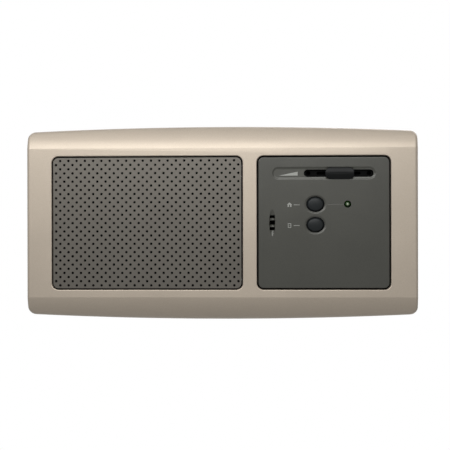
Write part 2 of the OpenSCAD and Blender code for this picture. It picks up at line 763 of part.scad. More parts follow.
module chassis() {
    counterbore_y = -screw_head_h - slide;
    color([0.13, 0.13, 0.13]) difference() {
        union() {
            between(plate_y, 0) rounded_rect(chassis_w, chassis_h, chassis_r);
            translate([grille_x, 0, 0]) {
                between(baffle_y, plate_y/2) rounded_rect(box_w, box_h, box_r);
                four(speaker_screw_x, speaker_screw_x) between(baffle_y - front_boss_h, baffle_y + baffle_t/2)
                    circle(d = screw_d + 2*fit + 2*front_boss_t);
            }
        }
        translate([grille_x, 0, 0]) {
            between(baffle_back_y, cut)
                rounded_rect(box_w - 2*baffle_wall, box_h - 2*baffle_wall, box_r - baffle_wall);
            between(baffle_y - front_boss_h - cut, baffle_back_y + cut) circle(d = sound_open_d, $fn = 120);
            four(speaker_screw_x, speaker_screw_x)
                between(baffle_y - front_boss_h + cut, baffle_back_y + cut) circle(d = screw_d + 2*fit);
            between(baffle_y - cut, baffle_back_y + cut) grille_tabs(fit, slide);
        }
        translate([panel_x, 0, 0]) {
            between(plate_y - cut, cut) rounded_rect(window_w, window_h, window_r);
            four(corner_x, corner_z) {
                between(plate_y - cut, cut) circle(d = screw_d + 2*screw_gap);
                between(counterbore_y, cut) circle(d = screw_head_d + 2*screw_gap);
            }
        }
        four(mount_dx/2, mount_dz/2) between(plate_y - cut, cut) circle(d = mount_hole_d);
        for (i = [-1:1], side = [0, 1]) mirror([0, 0, side])
            translate([i*hook_pitch, hook_end_y - hook_barb - slide, hook_z - hook_bite - slide])
                translate([-hook_w/2 - slide, 0, 0])
                    cube([hook_w + 2*slide, hook_barb + slide + cut, hook_bite + cut]);
    }
}

// Spindle whose axis lies in front of the panel, for the shallow lens-shaped scoop
module scoop() {
    translate([0, insert_y - scoop_axis, 0]) rotate_extrude($fn = 90) intersection() {
        translate([scoop_rad - scoop_arc_r, 0]) circle(r = scoop_arc_r, $fn = 180);
        translate([0, -scoop_len]) square([scoop_rad + cut, 2*scoop_len]);
    }
}

// Shallow recess round the slider, with sloping sides and round ends
module recess() {
    half = (recess_x1 - recess_x0 - recess_h)/2;
    floor_r = recess_h/2 - recess_slope;
    translate([(recess_x0 + recess_x1)/2, insert_y, volume_z]) {
        for (sx = [-1, 1]) translate([sx*half, 0, 0]) rotate([-90, 0, 0])
            cylinder(r1 = recess_h/2, r2 = floor_r, h = recess_depth);
        translate([-half, 0, 0]) rotate([90, 0, 90]) linear_extrude(2*half)
            polygon([[0, -recess_h/2], [recess_depth, -floor_r], [recess_depth, floor_r], [0, recess_h/2]]);
    }
}

module button_well(z) {
    translate([-button_dx, 0, z]) {
        between(insert_y - cut, panel_back_y + cut) oval(button_hole_w, button_hole_h);
        scale([1, 1, button_hole_h/button_hole_w]) translate([0, insert_y, 0]) rotate([-90, 0, 0])
            cylinder(r1 = button_hole_w/2 + dish_w, r2 = button_hole_w/2, h = dish_depth);
    }
}

module control_panel() {
    line_x0 = -button_dx + button_hole_w/2 + dish_w + line_gap;
    line_x1 = lamp_dx - lamp_d/2 - lamp_gap - line_gap;
    color([0.30, 0.30, 0.29]) translate([panel_x, 0, 0]) difference() {
        union() {
            between(insert_y, panel_back_y) rounded_rect(panel_w, insert_h, insert_r);
            between(insert_y, plate_y) difference() {
                rounded_rect(panel_w, insert_h, insert_r);
                rounded_rect(panel_w - 2*panel_wall, insert_h - 2*panel_wall, insert_r - panel_wall);
            }
            four(corner_x, corner_z) between(panel_back_y - panel_t/2, plate_y) circle(d = boss_d);
            four(board_hole_x, board_hole_z) between(panel_back_y - panel_t/4, board_y) circle(d = post_d);
        }
        recess();
        translate([slot_x, 0, volume_z]) between(insert_y - cut, panel_back_y + cut) stadium(slot_w, slot_h);
        button_well(house_z);
        button_well(door_z);
        translate([lamp_dx, 0, lamp_z]) between(insert_y - cut, panel_back_y + cut)
            circle(d = lamp_d + 2*lamp_gap);
        between(insert_y - cut, insert_y + line_depth) translate([(line_x0 + line_x1)/2, lamp_z])
            square([line_x1 - line_x0, line_w], center = true);
        translate([mic_x, 0, mic_z]) {
            scoop();
            between(insert_y - cut, panel_back_y + cut) for (i = [-1:1])
                translate([0, i*mic_slot_pitch])
                    square([mic_slot_w, i == 0 ? mic_slot_mid : mic_slot_h], center = true);
        }
        four(corner_x, corner_z) between(plate_y - screw_len, plate_y + cut) circle(d = screw_d + 2*fit);
        four(board_hole_x, board_hole_z) between(board_back_y - small_screw_len - fit, board_y + cut)
            circle(d = small_screw_d + 2*fit);
    }
}

module volume_knob() {
    base_y = insert_y - slide;
    top_y = insert_y - knob_proud;
    color([0.17, 0.18, 0.18]) translate([knob_x, 0, volume_z]) difference() {
        union() {
            intersection() {
                between(top_y, base_y) rounded_rect(knob_w, knob_h, knob_r);
                translate([0, top_y + knob_crown_r, 0]) rotate([0, 90, 0])
                    cylinder(r = knob_crown_r, h = 2*knob_w, center = true, $fn = 120);
            }
            between(base_y - cut, pot_y - slide) square([tongue_w, slot_h - 2*slide], center = true);
        }
        between(lever_top_y, pot_y) square([lever_w + fit, lever_t + fit], center = true);
    }
}

module volume_pot_lever() {
    color([0.20, 0.20, 0.21]) translate([knob_x, 0, volume_z]) {
        between(carriage_y, carriage_back_y)
            square([carriage_len, pot_w - 2*pot_t - 2*slide], center = true);
        between(lever_top_y, carriage_back_y) square([lever_w, lever_t], center = true);
    }
}

module volume_pot_frame() {
    color([0.62, 0.63, 0.64]) translate([panel_x + slot_x, 0, volume_z]) difference() {
        between(pot_y, board_y) square([pot_len, pot_w], center = true);
        between(pot_y + pot_t, board_y + cut) square([pot_len - 2*pot_t, pot_w - 2*pot_t], center = true);
        between(pot_y - cut, pot_y + pot_t + cut) {
            stadium(volume_travel + lever_w + 2*slide + lever_t, lever_t + 2*slide);
            for (sx = [-1, 1]) translate([sx*pot_hole_dx/2, 0]) circle(d = pot_hole_d);
        }
    }
}

module volume_pot_base() {
    color([0.45, 0.27, 0.13]) translate([panel_x + slot_x, 0, volume_z])
        between(board_y - pot_base_t, board_y)
            square([pot_len - 2*pot_t - 2*fit, pot_w - 2*pot_t - 2*fit], center = true);
}

module button(z) {
    color([0.16, 0.18, 0.19]) translate([panel_x - button_dx, 0, z]) {
        intersection() {
            between(button_top_y, button_stem_y) oval(button_w, button_h);
            translate([0, button_top_y + button_crown_rad, 0]) sphere(r = button_crown_rad, $fn = 120);
        }
        between(button_flange_y, button_stem_y)
            oval(button_hole_w + 2*button_flange, button_hole_h + 2*button_flange);
        between(button_flange_y, plunger_top_y) circle(d = stem_d);
    }
}

module house_button() {
    button(house_z);
}

module door_button() {
    button(door_z);
}

module switch_body(z) {
    color([0.08, 0.08, 0.08]) translate([panel_x - button_dx, 0, z]) difference() {
        between(switch_y, board_y) square([switch_w, switch_w], center = true);
        between(switch_y + switch_t, board_y - switch_t)
            circle(d = plunger_d + 2*plunger_rim + 2*slide);
        between(switch_y - cut, board_y - switch_t) circle(d = plunger_d + 2*slide);
    }
}

module house_switch_body() {
    switch_body(house_z);
}

module door_switch_body() {
    switch_body(door_z);
}

module switch_plunger(z) {
    rim_y = switch_y + switch_t + fit;
    color([0.75, 0.73, 0.68]) translate([panel_x - button_dx, 0, z]) {
        between(plunger_top_y, rim_y + plunger_rim_t) circle(d = plunger_d);
        between(rim_y, rim_y + plunger_rim_t) circle(d = plunger_d + 2*plunger_rim);
    }
}

module house_switch_plunger() {
    switch_plunger(house_z);
}

module door_switch_plunger() {
    switch_plunger(door_z);
}

// Shallow sprung dome under a plunger
module switch_dome(z) {
    base_y = board_y - switch_t;
    top_y = switch_y + switch_t + 2*fit + plunger_rim_t;
    dome_h = base_y - top_y;
    base_r = plunger_d/2 + plunger_rim;
    dome_r = (base_r*base_r + dome_h*dome_h)/(2*dome_h);
    color([0.78, 0.76, 0.70]) translate([panel_x - button_dx, top_y, z]) turned() intersection() {
        difference() {
            translate([0, dome_r]) circle(r = dome_r, $fn = 120);
            translate([0, dome_r]) circle(r = dome_r - dome_t, $fn = 120);
        }
        square([base_r + cut, dome_h]);
    }
}

module house_switch_dome() {
    switch_dome(house_z);
}

module door_switch_dome() {
    switch_dome(door_z);
}

module indicator_lens() {
    top_y = insert_y - lamp_proud;
    color([0.25, 0.42, 0.18]) translate([panel_x + lamp_dx, 0, lamp_z]) {
        translate([0, top_y + lamp_d/2, 0]) sphere(d = lamp_d);
        between(top_y + lamp_d/2, top_y + lamp_len) circle(d = lamp_d);
        between(top_y + lamp_len - lamp_flange_t, top_y + lamp_len) circle(d = lamp_d + 2*lamp_flange);
    }
}

module indicator_spacer() {
    color([0.86, 0.85, 0.80]) translate([panel_x + lamp_dx, 0, lamp_z]) difference() {
        between(insert_y - lamp_proud + lamp_len, board_y) circle(d = lamp_d + 2*lamp_flange);
        between(insert_y, board_y + cut) circle(d = lamp_d - 2*lamp_flange);
    }
}

module indicator_leads() {
    color([0.75, 0.75, 0.74]) translate([panel_x + lamp_dx, 0, lamp_z])
        between(insert_y - lamp_proud + lamp_len, board_y)
            for (sx = [-1, 1]) translate([sx*lead_pitch/2, 0]) square([lead_t, lead_t], center = true);
}

module microphone() {
    capsule_y = panel_back_y + boot_lip;
    color([0.70, 0.71, 0.72]) translate([panel_x + mic_x, 0, mic_z]) {
        between(capsule_y, capsule_y + mic_h) circle(d = mic_d);
        between(capsule_y + mic_h - fit, board_y)
            for (sx = [-1, 1]) translate([sx*pin_pitch/2, 0]) circle(d = lead_t);
    }
}

module microphone_boot() {
    color([0.07, 0.07, 0.07]) translate([panel_x + mic_x, 0, mic_z]) difference() {
        between(panel_back_y, board_y) circle(d = boot_d);
        between(panel_back_y - cut, board_y + cut) circle(d = boot_in_d - 2*boot_grip);
        between(panel_back_y + boot_lip, board_y + cut) circle(d = boot_in_d);
    }
}

module circuit_board() {
    color([0.10, 0.32, 0.16]) translate([panel_x, 0, 0]) between(board_y, board_back_y) difference() {
        square([board_w, board_h], center = true);
        for (sx = [-1, 1], sz = [-1, 1]) {
            translate([sx*(notch_x + board_w/2), sz*(notch_z + board_h/2)])
                square([board_w, board_h], center = true);
            translate([sx*board_hole_x, sz*board_hole_z]) circle(d = small_screw_d + 2*screw_gap);
        }
    }
}

module terminals() {
    for (i = [0:terminal_count - 1])
        translate([terminal_x + (i - (terminal_count - 1)/2)*terminal_pitch, 0]) children();
}

// Terminal block with a wire entry below each screw
module terminal_block() {
    back_y = board_back_y + terminal_h;
    entry = terminal_pitch - 2*terminal_t;
    floor_y = board_back_y + entry_floor;
    color([0.16, 0.45, 0.25]) translate([panel_x, 0, -terminal_z]) difference() {
        between(board_back_y, back_y) translate([terminal_x, 0])
            square([terminal_len, terminal_w], center = true);
        between(back_y - terminal_well, back_y + cut) terminals() circle(d = terminal_screw_d + 2*fit);
        between(floor_y, floor_y + entry) terminals()
            translate([0, -terminal_w/2]) square([entry, terminal_w], center = true);
    }
}

module terminal_screws() {
    seat_y = board_back_y + terminal_h - terminal_well;
    color([0.76, 0.75, 0.72]) translate([panel_x, 0, -terminal_z]) difference() {
        between(seat_y, seat_y + terminal_screw_h) terminals() circle(d = terminal_screw_d);
        between(seat_y + terminal_screw_h/2, seat_y + terminal_h)
            terminals() rotate(drive_turn) square([terminal_pitch, drive_w], center = true);
    }
}

// A chip with a row of legs down each long side
module chip(at, w, legs) {
    leg_pitch = chip_len/legs;
    color([0.07, 0.07, 0.08]) translate([panel_x + board_x0 + at[0], 0, at[1]]) {
        between(board_back_y + chip_stand, board_back_y + chip_t) square([chip_len, w], center = true);
        for (i = [0:legs - 1], sz = [-1, 1])
            translate([(i - (legs - 1)/2)*leg_pitch, 0, sz*(w/2 + leg_w/4)])
                between(board_back_y, board_back_y + chip_t/2) square([leg_w, leg_w], center = true);
    }
}

module amplifier_chip() {
    chip(amplifier_at, amplifier_w, 4);
}

module logic_chip() {
    chip(logic_at, logic_w, 7);
}

module filter_capacitors() {
    rad = capacitor_d/2;
    color([0.12, 0.16, 0.28]) for (at = capacitors_at)
        translate([panel_x + board_x0 + at[0], board_back_y, at[1]]) turned()
            polygon([[0, 0], [rad, 0], [rad, groove_at - groove], [rad - groove, groove_at],
                [rad, groove_at + groove], [rad, capacitor_len], [0, capacitor_len]]);
}

module resistors() {
    color([0.80, 0.70, 0.52]) for (at = resistors_at)
        translate([panel_x + board_x0 + at[0], board_back_y + resistor_d/2 + fit, at[1]]) {
            cylinder(d = resistor_d, h = resistor_len, center = true);
            cylinder(d = lead_t, h = resistor_len + 2*lead_reach, center = true);
            for (sz = [-1, 1])
                translate([0, -resistor_d/2 - fit, sz*(resistor_len/2 + lead_reach - lead_t/2)])
                    rotate([-90, 0, 0]) cylinder(d = lead_t, h = resistor_d/2 + fit);
        }
}

module speaker_connector() {
    color([0.90, 0.88, 0.80]) translate([plug_x, 0, plug_z]) difference() {
        between(board_back_y, board_back_y + connector_h) square([connector_w, connector_d], center = true);
        between(board_back_y + connector_t, board_back_y + connector_h + cut)
            square([connector_w - 2*connector_t, connector_d - 2*connector_t], center = true);
    }
}

module speaker_plug() {
    color([0.88, 0.86, 0.78]) translate([plug_x, 0, plug_z])
        between(board_back_y + connector_t, plug_back_y) square([plug_w, plug_d], center = true);
}

module speaker_lead_red() {
    color([0.62, 0.08, 0.07]) wire(red_route, wire_d);
}

module speaker_lead_black() {
    color([0.06, 0.06, 0.06]) wire(black_route, wire_d);
}

module at_speaker() {
    translate([grille_x, baffle_back_y, 0]) children();
}

module speaker_gasket() {
    color([0.10, 0.10, 0.10]) at_speaker() between(0, gasket_t) difference() {
        rounded_rect(speaker_w, speaker_w, speaker_r);
        circle(r = sound_open_d/2 + fit, $fn = 120);
        for (sx = [-1, 1], sz = [-1, 1])
            translate([sx*speaker_screw_x, sz*speaker_screw_x]) circle(d = screw_d + 2*screw_gap);
    }
}

module speaker_basket() {
    window_s = flange_back_s + basket_t;
    color([0.55, 0.56, 0.57]) at_speaker() difference() {
        union() {
            between(flange_s, flange_back_s) difference() {
                rounded_rect(speaker_w, speaker_w, speaker_r);
                circle(r = rim_r, $fn = 120);
                for (sx = [-1, 1], sz = [-1, 1])
                    translate([sx*speaker_screw_x, sz*speaker_screw_x]) circle(d = screw_d + 2*screw_gap);
            }
            turned() polygon([[rim_r, flange_s], [ledge_r, shoulder_s], [ledge_r, ledge_s], [neck_r, ledge_s],
                [neck_r, motor_s - basket_t], [plate_bore_r, motor_s - basket_t], [plate_bore_r, motor_s],
                [neck_r + basket_t, motor_s], [neck_r + basket_t, ledge_s + basket_t],
                [ledge_r + basket_t, ledge_s + basket_t], [ledge_r + basket_t, shoulder_s],
                [rim_r + basket_t, flange_back_s], [rim_r + 2*basket_t, flange_back_s],
                [rim_r + 2*basket_t, flange_s]]);
        }
        for (turn = [0:90:270]) rotate([0, turn, 0])
            translate([ledge_r/2, window_s, -basket_window_w/2])
                cube([speaker_w, shoulder_s - window_s, basket_window_w]);
    }
}

module speaker_terminal_strip() {
    color([0.45, 0.27, 0.13]) at_speaker() between(flange_back_s, flange_back_s + strip_t)
        translate([strip_x, 0]) square([strip_w, strip_h], center = true);
}

module speaker_lugs() {
    color([0.78, 0.64, 0.32]) at_speaker() for (sz = [-1, 1]) translate([strip_x, 0, sz*lug_dz])
        between(flange_back_s + strip_t, flange_back_s + strip_t + lug_len)
            square([lug_w, lug_t], center = true);
}

module speaker_top_plate() {
    color([0.60, 0.60, 0.58]) at_speaker() between(motor_s, magnet_s) difference() {
        circle(d = top_plate_d, $fn = 120);
        circle(r = plate_bore_r);
    }
}

module speaker_magnet() {
    color([0.20, 0.20, 0.21]) at_speaker() between(magnet_s, yoke_s) difference() {
        circle(d = magnet_d, $fn = 120);
        circle(r = magnet_bore_r);
    }
}

module speaker_yoke() {
    color([0.60, 0.60, 0.58]) at_speaker() {
        between(yoke_s, back_s) circle(d = yoke_d, $fn = 120);
        between(motor_s, yoke_s + yoke_t/2) circle(d = pole_d);
    }
}

module speaker_cone() {
    neck_in = coil_out_r + fit/2;
    color([0.12, 0.12, 0.12]) at_speaker() turned()
        polygon([[neck_in, cone_neck_s], [cone_r - cone_rim, flange_s], [cone_r, flange_s],
            [cone_r, flange_s + cone_t], [cone_r - cone_rim + cone_t, flange_s + cone_t],
            [neck_in, cone_neck_s + cone_t]]);
}

module speaker_dust_cap() {
    base_s = cone_neck_s - cone_slope*(cap_r - coil_out_r) - fit;
    arc_r = (cap_r*cap_r + cap_h*cap_h)/(2*cap_h);
    color([0.10, 0.10, 0.10]) at_speaker() turned() intersection() {
        translate([0, base_s - cap_h + arc_r]) difference() {
            circle(r = arc_r, $fn = 120);
            circle(r = arc_r - cone_t, $fn = 120);
        }
        translate([0, base_s - 2*cap_h]) square([cap_r + cut, 2*cap_h]);
    }
}

module speaker_voice_coil() {
    color([0.66, 0.40, 0.22]) at_speaker() between(cone_neck_s - fit, cone_neck_s - fit + coil_len)
        difference() {
            circle(r = coil_out_r);
            circle(r = coil_in_r);
        }
}

// Half roll between the rim of the cone and the flange
module speaker_surround() {
    roll_mid = (cone_r + rim_r)/2;
    roll_out = (rim_r - cone_r)/2 + edge_t/2;
    color([0.08, 0.08, 0.08]) at_speaker() turned() {
        translate([roll_mid, flange_s]) intersection() {
            difference() {
                circle(r = roll_out);
                circle(r = roll_out - edge_t);
            }
            translate([-roll_out, -2*roll_out]) square([2*roll_out, 2*roll_out]);
        }
        translate([cone_r - cone_rim, flange_s - edge_t]) square([cone_rim, edge_t]);
        translate([rim_r, flange_s - edge_t]) square([cone_rim, edge_t]);
    }
}

// Corrugated disc that centres the voice coil
module speaker_spider() {
    lip = ledge_r - fit;
    inner = coil_out_r + fit/2;
    top_s = ledge_s - edge_t;
    flanks = [0:spider_flanks];
    radii = [for (i = flanks) inner + (neck_r - inner)*i/spider_flanks];
    front = [for (i = flanks) [radii[i], top_s - (i % 2)*edge_t]];
    back = [for (i = flanks) [radii[spider_flanks - i], ledge_s - (i % 2)*edge_t]];
    color([0.74, 0.58, 0.30]) at_speaker() turned()
        polygon(concat(front, [[lip, top_s], [lip, ledge_s]], back));
}

module speaker_screws() {
    color([0.72, 0.72, 0.70]) at_speaker() four(speaker_screw_x, speaker_screw_x)
        screw(flange_back_s, screw_d, screw_head_d, screw_head_h, screw_len);
}

module panel_screws() {
    color([0.72, 0.72, 0.70]) translate([panel_x, 0, 0]) four(corner_x, corner_z)
        screw(-screw_head_h - slide, screw_d, screw_head_d, screw_head_h, screw_len);
}

module board_screws() {
    color([0.72, 0.72, 0.70]) translate([panel_x, 0, 0]) four(board_hole_x, board_hole_z)
        screw(board_back_y, small_screw_d, small_head_d, small_head_h, small_screw_len);
}

front_frame();
speaker_grille();
grille_cloth();
chassis();
control_panel();
volume_knob();
volume_pot_lever();
volume_pot_frame();
volume_pot_base();
house_button();
door_button();
house_switch_body();
door_switch_body();
house_switch_plunger();
door_switch_plunger();
house_switch_dome();
door_switch_dome();
indicator_lens();
indicator_spacer();
indicator_leads();
microphone();
microphone_boot();
circuit_board();
terminal_block();
terminal_screws();
amplifier_chip();
logic_chip();
filter_capacitors();
resistors();
speaker_connector();
speaker_plug();
speaker_lead_red();
speaker_lead_black();
speaker_gasket();
speaker_basket();
speaker_terminal_strip();
speaker_lugs();
speaker_top_plate();
speaker_magnet();
speaker_yoke();
speaker_cone();
speaker_dust_cap();
speaker_voice_coil();
speaker_surround();
speaker_spider();
speaker_screws();
panel_screws();
board_screws();
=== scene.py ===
"""Looks of the intercom room station: rounded mouldings, finishes, cloth, printed marks, light and camera.

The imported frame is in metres, with X to the right, Z up and the front towards -Y.
"""
import json
import math

import bmesh
import bpy
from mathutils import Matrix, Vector
from mathutils.geometry import tessellate_polygon


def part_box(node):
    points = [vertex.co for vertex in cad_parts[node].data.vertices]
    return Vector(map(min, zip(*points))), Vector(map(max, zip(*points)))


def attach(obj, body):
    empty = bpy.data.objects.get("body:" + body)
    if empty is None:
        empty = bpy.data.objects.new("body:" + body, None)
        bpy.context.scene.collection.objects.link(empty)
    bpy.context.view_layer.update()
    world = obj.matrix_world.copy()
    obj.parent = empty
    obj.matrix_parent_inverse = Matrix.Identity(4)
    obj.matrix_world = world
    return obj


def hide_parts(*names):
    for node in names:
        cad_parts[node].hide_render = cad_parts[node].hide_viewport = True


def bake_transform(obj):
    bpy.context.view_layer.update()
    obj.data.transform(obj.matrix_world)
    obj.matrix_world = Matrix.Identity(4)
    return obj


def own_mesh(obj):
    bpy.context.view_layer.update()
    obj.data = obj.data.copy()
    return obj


MM = 0.001
STATION = "station"

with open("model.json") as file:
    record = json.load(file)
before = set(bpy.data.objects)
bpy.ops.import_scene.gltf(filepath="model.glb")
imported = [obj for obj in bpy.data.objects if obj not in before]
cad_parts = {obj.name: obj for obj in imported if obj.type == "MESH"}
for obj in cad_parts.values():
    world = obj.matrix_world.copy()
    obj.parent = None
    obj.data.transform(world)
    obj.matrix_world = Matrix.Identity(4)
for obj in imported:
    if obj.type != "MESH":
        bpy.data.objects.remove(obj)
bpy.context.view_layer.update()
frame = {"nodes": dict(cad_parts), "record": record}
nodes = frame["nodes"]
scene = bpy.context.scene
scene.view_settings.view_transform = "Standard"

# Places that the looks share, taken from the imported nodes
frame_low, frame_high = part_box("front_frame")
grille_low, grille_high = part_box("speaker_grille")
panel_low, panel_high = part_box("control_panel")
panel_middle = (panel_low + panel_high) / 2
knob_low, knob_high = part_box("volume_knob")
knob_middle = (knob_low + knob_high) / 2


# Camera

VIEW_WIDTH = 268.7 * MM
CAMERA_DISTANCE = 800 * MM
CAMERA_TURN = math.radians(2.6)
CAMERA_ROLL = math.radians(0.12)
AIM_X = 2.2 * MM
AIM_Z = -1.3 * MM
SENSOR_W = 36.0


def make_camera():
    camera = bpy.data.objects.new("camera", bpy.data.cameras.new("camera"))
    scene.collection.objects.link(camera)
    camera.data.sensor_width = SENSOR_W
    camera.data.lens = SENSOR_W * CAMERA_DISTANCE / VIEW_WIDTH
    away = Vector((math.sin(CAMERA_TURN), -math.cos(CAMERA_TURN), 0))
    camera.location = Vector((AIM_X, frame_low.y, AIM_Z)) + CAMERA_DISTANCE * away
    camera.rotation_euler = (math.pi / 2, CAMERA_ROLL, CAMERA_TURN)
    scene.camera = camera


make_camera()


# Light and floor

AMBIENT = 0.02
KEY_POWER = 1.33
KEY_PLACE = (-0.04, -0.28, 0.18)
KEY_SIZE = (0.4, 0.2)
LOW_POWER = 0.08
LOW_PLACE = (-0.04, -0.12, -0.58)
LOW_SIZE = (0.8, 0.5)
TOP_POWER = 0.26
TOP_PLACE = (-0.04, -0.16, 0.5)
TOP_SIZE = (0.6, 0.12)
REAR_POWER = 6.0
REAR_PLACE = (0.45, 0.85, 0.45)
REAR_SIZE = (0.8, 0.8)
FLOOR_Z = -0.9
FLOOR_HALF = 1.5
FLOOR_GLOW = 0.88


def add(tree, kind, inputs=(), **settings):
    """A new node with its settings, and each input set to a value or linked to another node's output."""
    node = tree.nodes.new(kind)
    for key, value in settings.items():
        setattr(node, key, value)
    for key, value in dict(inputs).items():
        if isinstance(value, bpy.types.NodeSocket):
            tree.links.new(value, node.inputs[key])
        else:
            node.inputs[key].default_value = value
    return node


def background_ray(tree):
    """1 where the camera, a reflection or a clear piece looks, and 0 where a surface gathers its light."""
    path = add(tree, "ShaderNodeLightPath").outputs
    seen = path["Is Camera Ray"]
    for kind in ("Is Glossy Ray", "Is Transmission Ray"):
        seen = add(tree, "ShaderNodeMath", {0: seen, 1: path[kind]}, operation="MAXIMUM").outputs[0]
    return seen


def make_world():
    """White as a background, and a plain grey light elsewhere."""
    world = bpy.data.worlds.new("studio")
    scene.world = world
    world.use_nodes = True
    tree = world.node_tree
    tree.nodes.clear()
    light = add(tree, "ShaderNodeBackground", {"Color": (1, 1, 1, 1), "Strength": AMBIENT})
    white = add(tree, "ShaderNodeBackground", {"Color": (1, 1, 1, 1), "Strength": 1.0})
    mix = add(tree, "ShaderNodeMixShader",
              {0: background_ray(tree), 1: light.outputs[0], 2: white.outputs[0]})
    add(tree, "ShaderNodeOutputWorld", {"Surface": mix.outputs[0]})


def make_lamp(name, power, place, size):
    """A soft box that faces the middle of the station."""
    lamp = bpy.data.objects.new(name, bpy.data.lights.new(name, "AREA"))
    scene.collection.objects.link(lamp)
    lamp.data.shape = "RECTANGLE"
    lamp.data.size, lamp.data.size_y = size
    lamp.data.energy = power
    lamp.location = place
    lamp.rotation_euler = (-Vector(place)).to_track_quat("-Z", "Y").to_euler()


make_world()
make_lamp("key", KEY_POWER, KEY_PLACE, KEY_SIZE)
make_lamp("low_fill", LOW_POWER, LOW_PLACE, LOW_SIZE)
make_lamp("top_fill", TOP_POWER, TOP_PLACE, TOP_SIZE)
make_lamp("rear_fill", REAR_POWER, REAR_PLACE, REAR_SIZE)


# Finishes

NOISE_SPAN = (0.3, 0.7)
FULL_SPAN = (0.0, 1.0)
FINISH_MARK = "_finish"
PLAIN_SHINE = 0.5
MATT_SHINE = 0.16
BARE_METAL = 0.9
CLOUD_DETAIL = 3.0
FINE_DETAIL = 4.0
MIX_COLOUR_A = 6
MIX_COLOUR_B = 7
MIX_COLOUR_OUT = 2


def srgb(red, green, blue):
    """A display colour from 0 to 255 as linear light."""
    def linear(c):
        c = c / 255
        return c / 12.92 if c <= 0.04045 else ((c + 0.055) / 1.055) ** 2.4
    return (linear(red), linear(green), linear(blue), 1.0)


class Finish:
    """A node material round one shader, with its textures placed in the part's own frame."""

    def __init__(self, name, colour, roughness, metallic=0.0, shine=PLAIN_SHINE):
        self.material = bpy.data.materials.new(name + FINISH_MARK)
        self.material.use_nodes = True
        self.tree = self.material.node_tree
        self.shader = self.tree.nodes["Principled BSDF"]
        self.colour = colour
        self.roughness = roughness
        self.shader.inputs["Base Color"].default_value = colour
        self.shader.inputs["Roughness"].default_value = roughness
        self.shader.inputs["Metallic"].default_value = metallic
        self.shader.inputs["Specular IOR Level"].default_value = shine
        self.place = add(self.tree, "ShaderNodeTexCoord").outputs["Object"]

    def stretched(self, x, y, z):
        """The part's frame, with each direction drawn out or in."""
        return add(self.tree, "ShaderNodeMapping", {"Vector": self.place, "Scale": (x, y, z)}).outputs[0]

    def noise(self, scale, detail=2.0, place=None):
        inputs = {"Vector": place or self.place, "Scale": scale, "Detail": detail}
        return add(self.tree, "ShaderNodeTexNoise", inputs).outputs["Fac"]

    def cells(self, scale):
        """One random value for each small cell."""
        inputs = {"Vector": self.place, "Scale": scale}
        colour = add(self.tree, "ShaderNodeTexVoronoi", inputs).outputs["Color"]
        return add(self.tree, "ShaderNodeSeparateColor", {0: colour}).outputs[0]

    def bands(self, axis, scale):
        inputs = {"Vector": self.place, "Scale": scale}
        return add(self.tree, "ShaderNodeTexWave", inputs, bands_direction=axis).outputs["Fac"]

    def spread(self, factor, low, high, span=NOISE_SPAN):
        """A span of the factor, drawn out to run from low to high."""
        inputs = {"Value": factor, "From Min": span[0], "From Max": span[1], "To Min": low, "To Max": high}
        return add(self.tree, "ShaderNodeMapRange", inputs).outputs[0]

    def math(self, operation, a, b):
        return add(self.tree, "ShaderNodeMath", {0: a, 1: b}, operation=operation).outputs[0]

    def axis(self, name):
        return add(self.tree, "ShaderNodeSeparateXYZ", {0: self.place}).outputs[name]

    def mix(self, factor, a, b):
        """Colour a where the factor is 0, and colour b where it is 1."""
        node = add(self.tree, "ShaderNodeMix", {"Factor": factor}, data_type="RGBA")
        for index, value in ((MIX_COLOUR_A, a), (MIX_COLOUR_B, b)):
            if isinstance(value, bpy.types.NodeSocket):
                self.tree.links.new(value, node.inputs[index])
            else:
                node.inputs[index].default_value = value
        return node.outputs[MIX_COLOUR_OUT]

    def brightness(self, value, colour=None):
        """The colour, or the finish's own, made lighter or darker by a varying value."""
        inputs = {"Value": value, "Color": self.colour if colour is None else colour}
        return add(self.tree, "ShaderNodeHueSaturation", inputs).outputs[0]

    def set_colour(self, socket):
        self.tree.links.new(socket, self.shader.inputs["Base Color"])

    def set_roughness(self, socket):
        self.tree.links.new(socket, self.shader.inputs["Roughness"])

    def set_relief(self, height, distance):
        bump = add(self.tree, "ShaderNodeBump", {"Height": height, "Distance": distance, "Strength": 1.0})
        self.tree.links.new(bump.outputs[0], self.shader.inputs["Normal"])

    def weathered(self, grain, mottle, amount, rough_amount, relief):
        """Fine grain and broad mottling in the colour, the gloss and the surface."""
        fine = self.noise(grain)
        broad = self.noise(mottle, CLOUD_DETAIL)
        speckle = self.spread(fine, -amount / 2, amount / 2)
        shade = self.math("ADD", speckle, self.spread(broad, 1 - amount, 1 + amount))
        self.set_colour(self.brightness(shade))
        self.set_roughness(self.spread(broad, self.roughness - rough_amount, self.roughness + rough_amount))
        self.set_relief(fine, relief)
        return self


FLAKE_SCALE = 5200.0
CLOUD_SCALE = 38.0
CLOUD_SHADE = (0.98, 1.02)
CLOUD_ROUGHNESS = 0.03
LACQUER_SCALE = 2600.0
LACQUER_RELIEF = 0.006 * MM


def metallic_paint(name, colour, roughness, metallic, flake_share, shine):
    """Sprayed paint with fine metal flakes under a satin lacquer."""
    finish = Finish(name, colour, roughness, metallic, shine)
    flakes = finish.spread(finish.cells(FLAKE_SCALE), -flake_share, flake_share, FULL_SPAN)
    cloud = finish.noise(CLOUD_SCALE, CLOUD_DETAIL)
    finish.set_colour(finish.brightness(finish.math("ADD", flakes, finish.spread(cloud, *CLOUD_SHADE))))
    finish.set_roughness(finish.spread(cloud, roughness - CLOUD_ROUGHNESS, roughness + CLOUD_ROUGHNESS))
    finish.set_relief(finish.noise(LACQUER_SCALE), LACQUER_RELIEF)
    return finish.material


PLASTIC_GRAIN = 1600.0
PLASTIC_RELIEF = 0.012 * MM


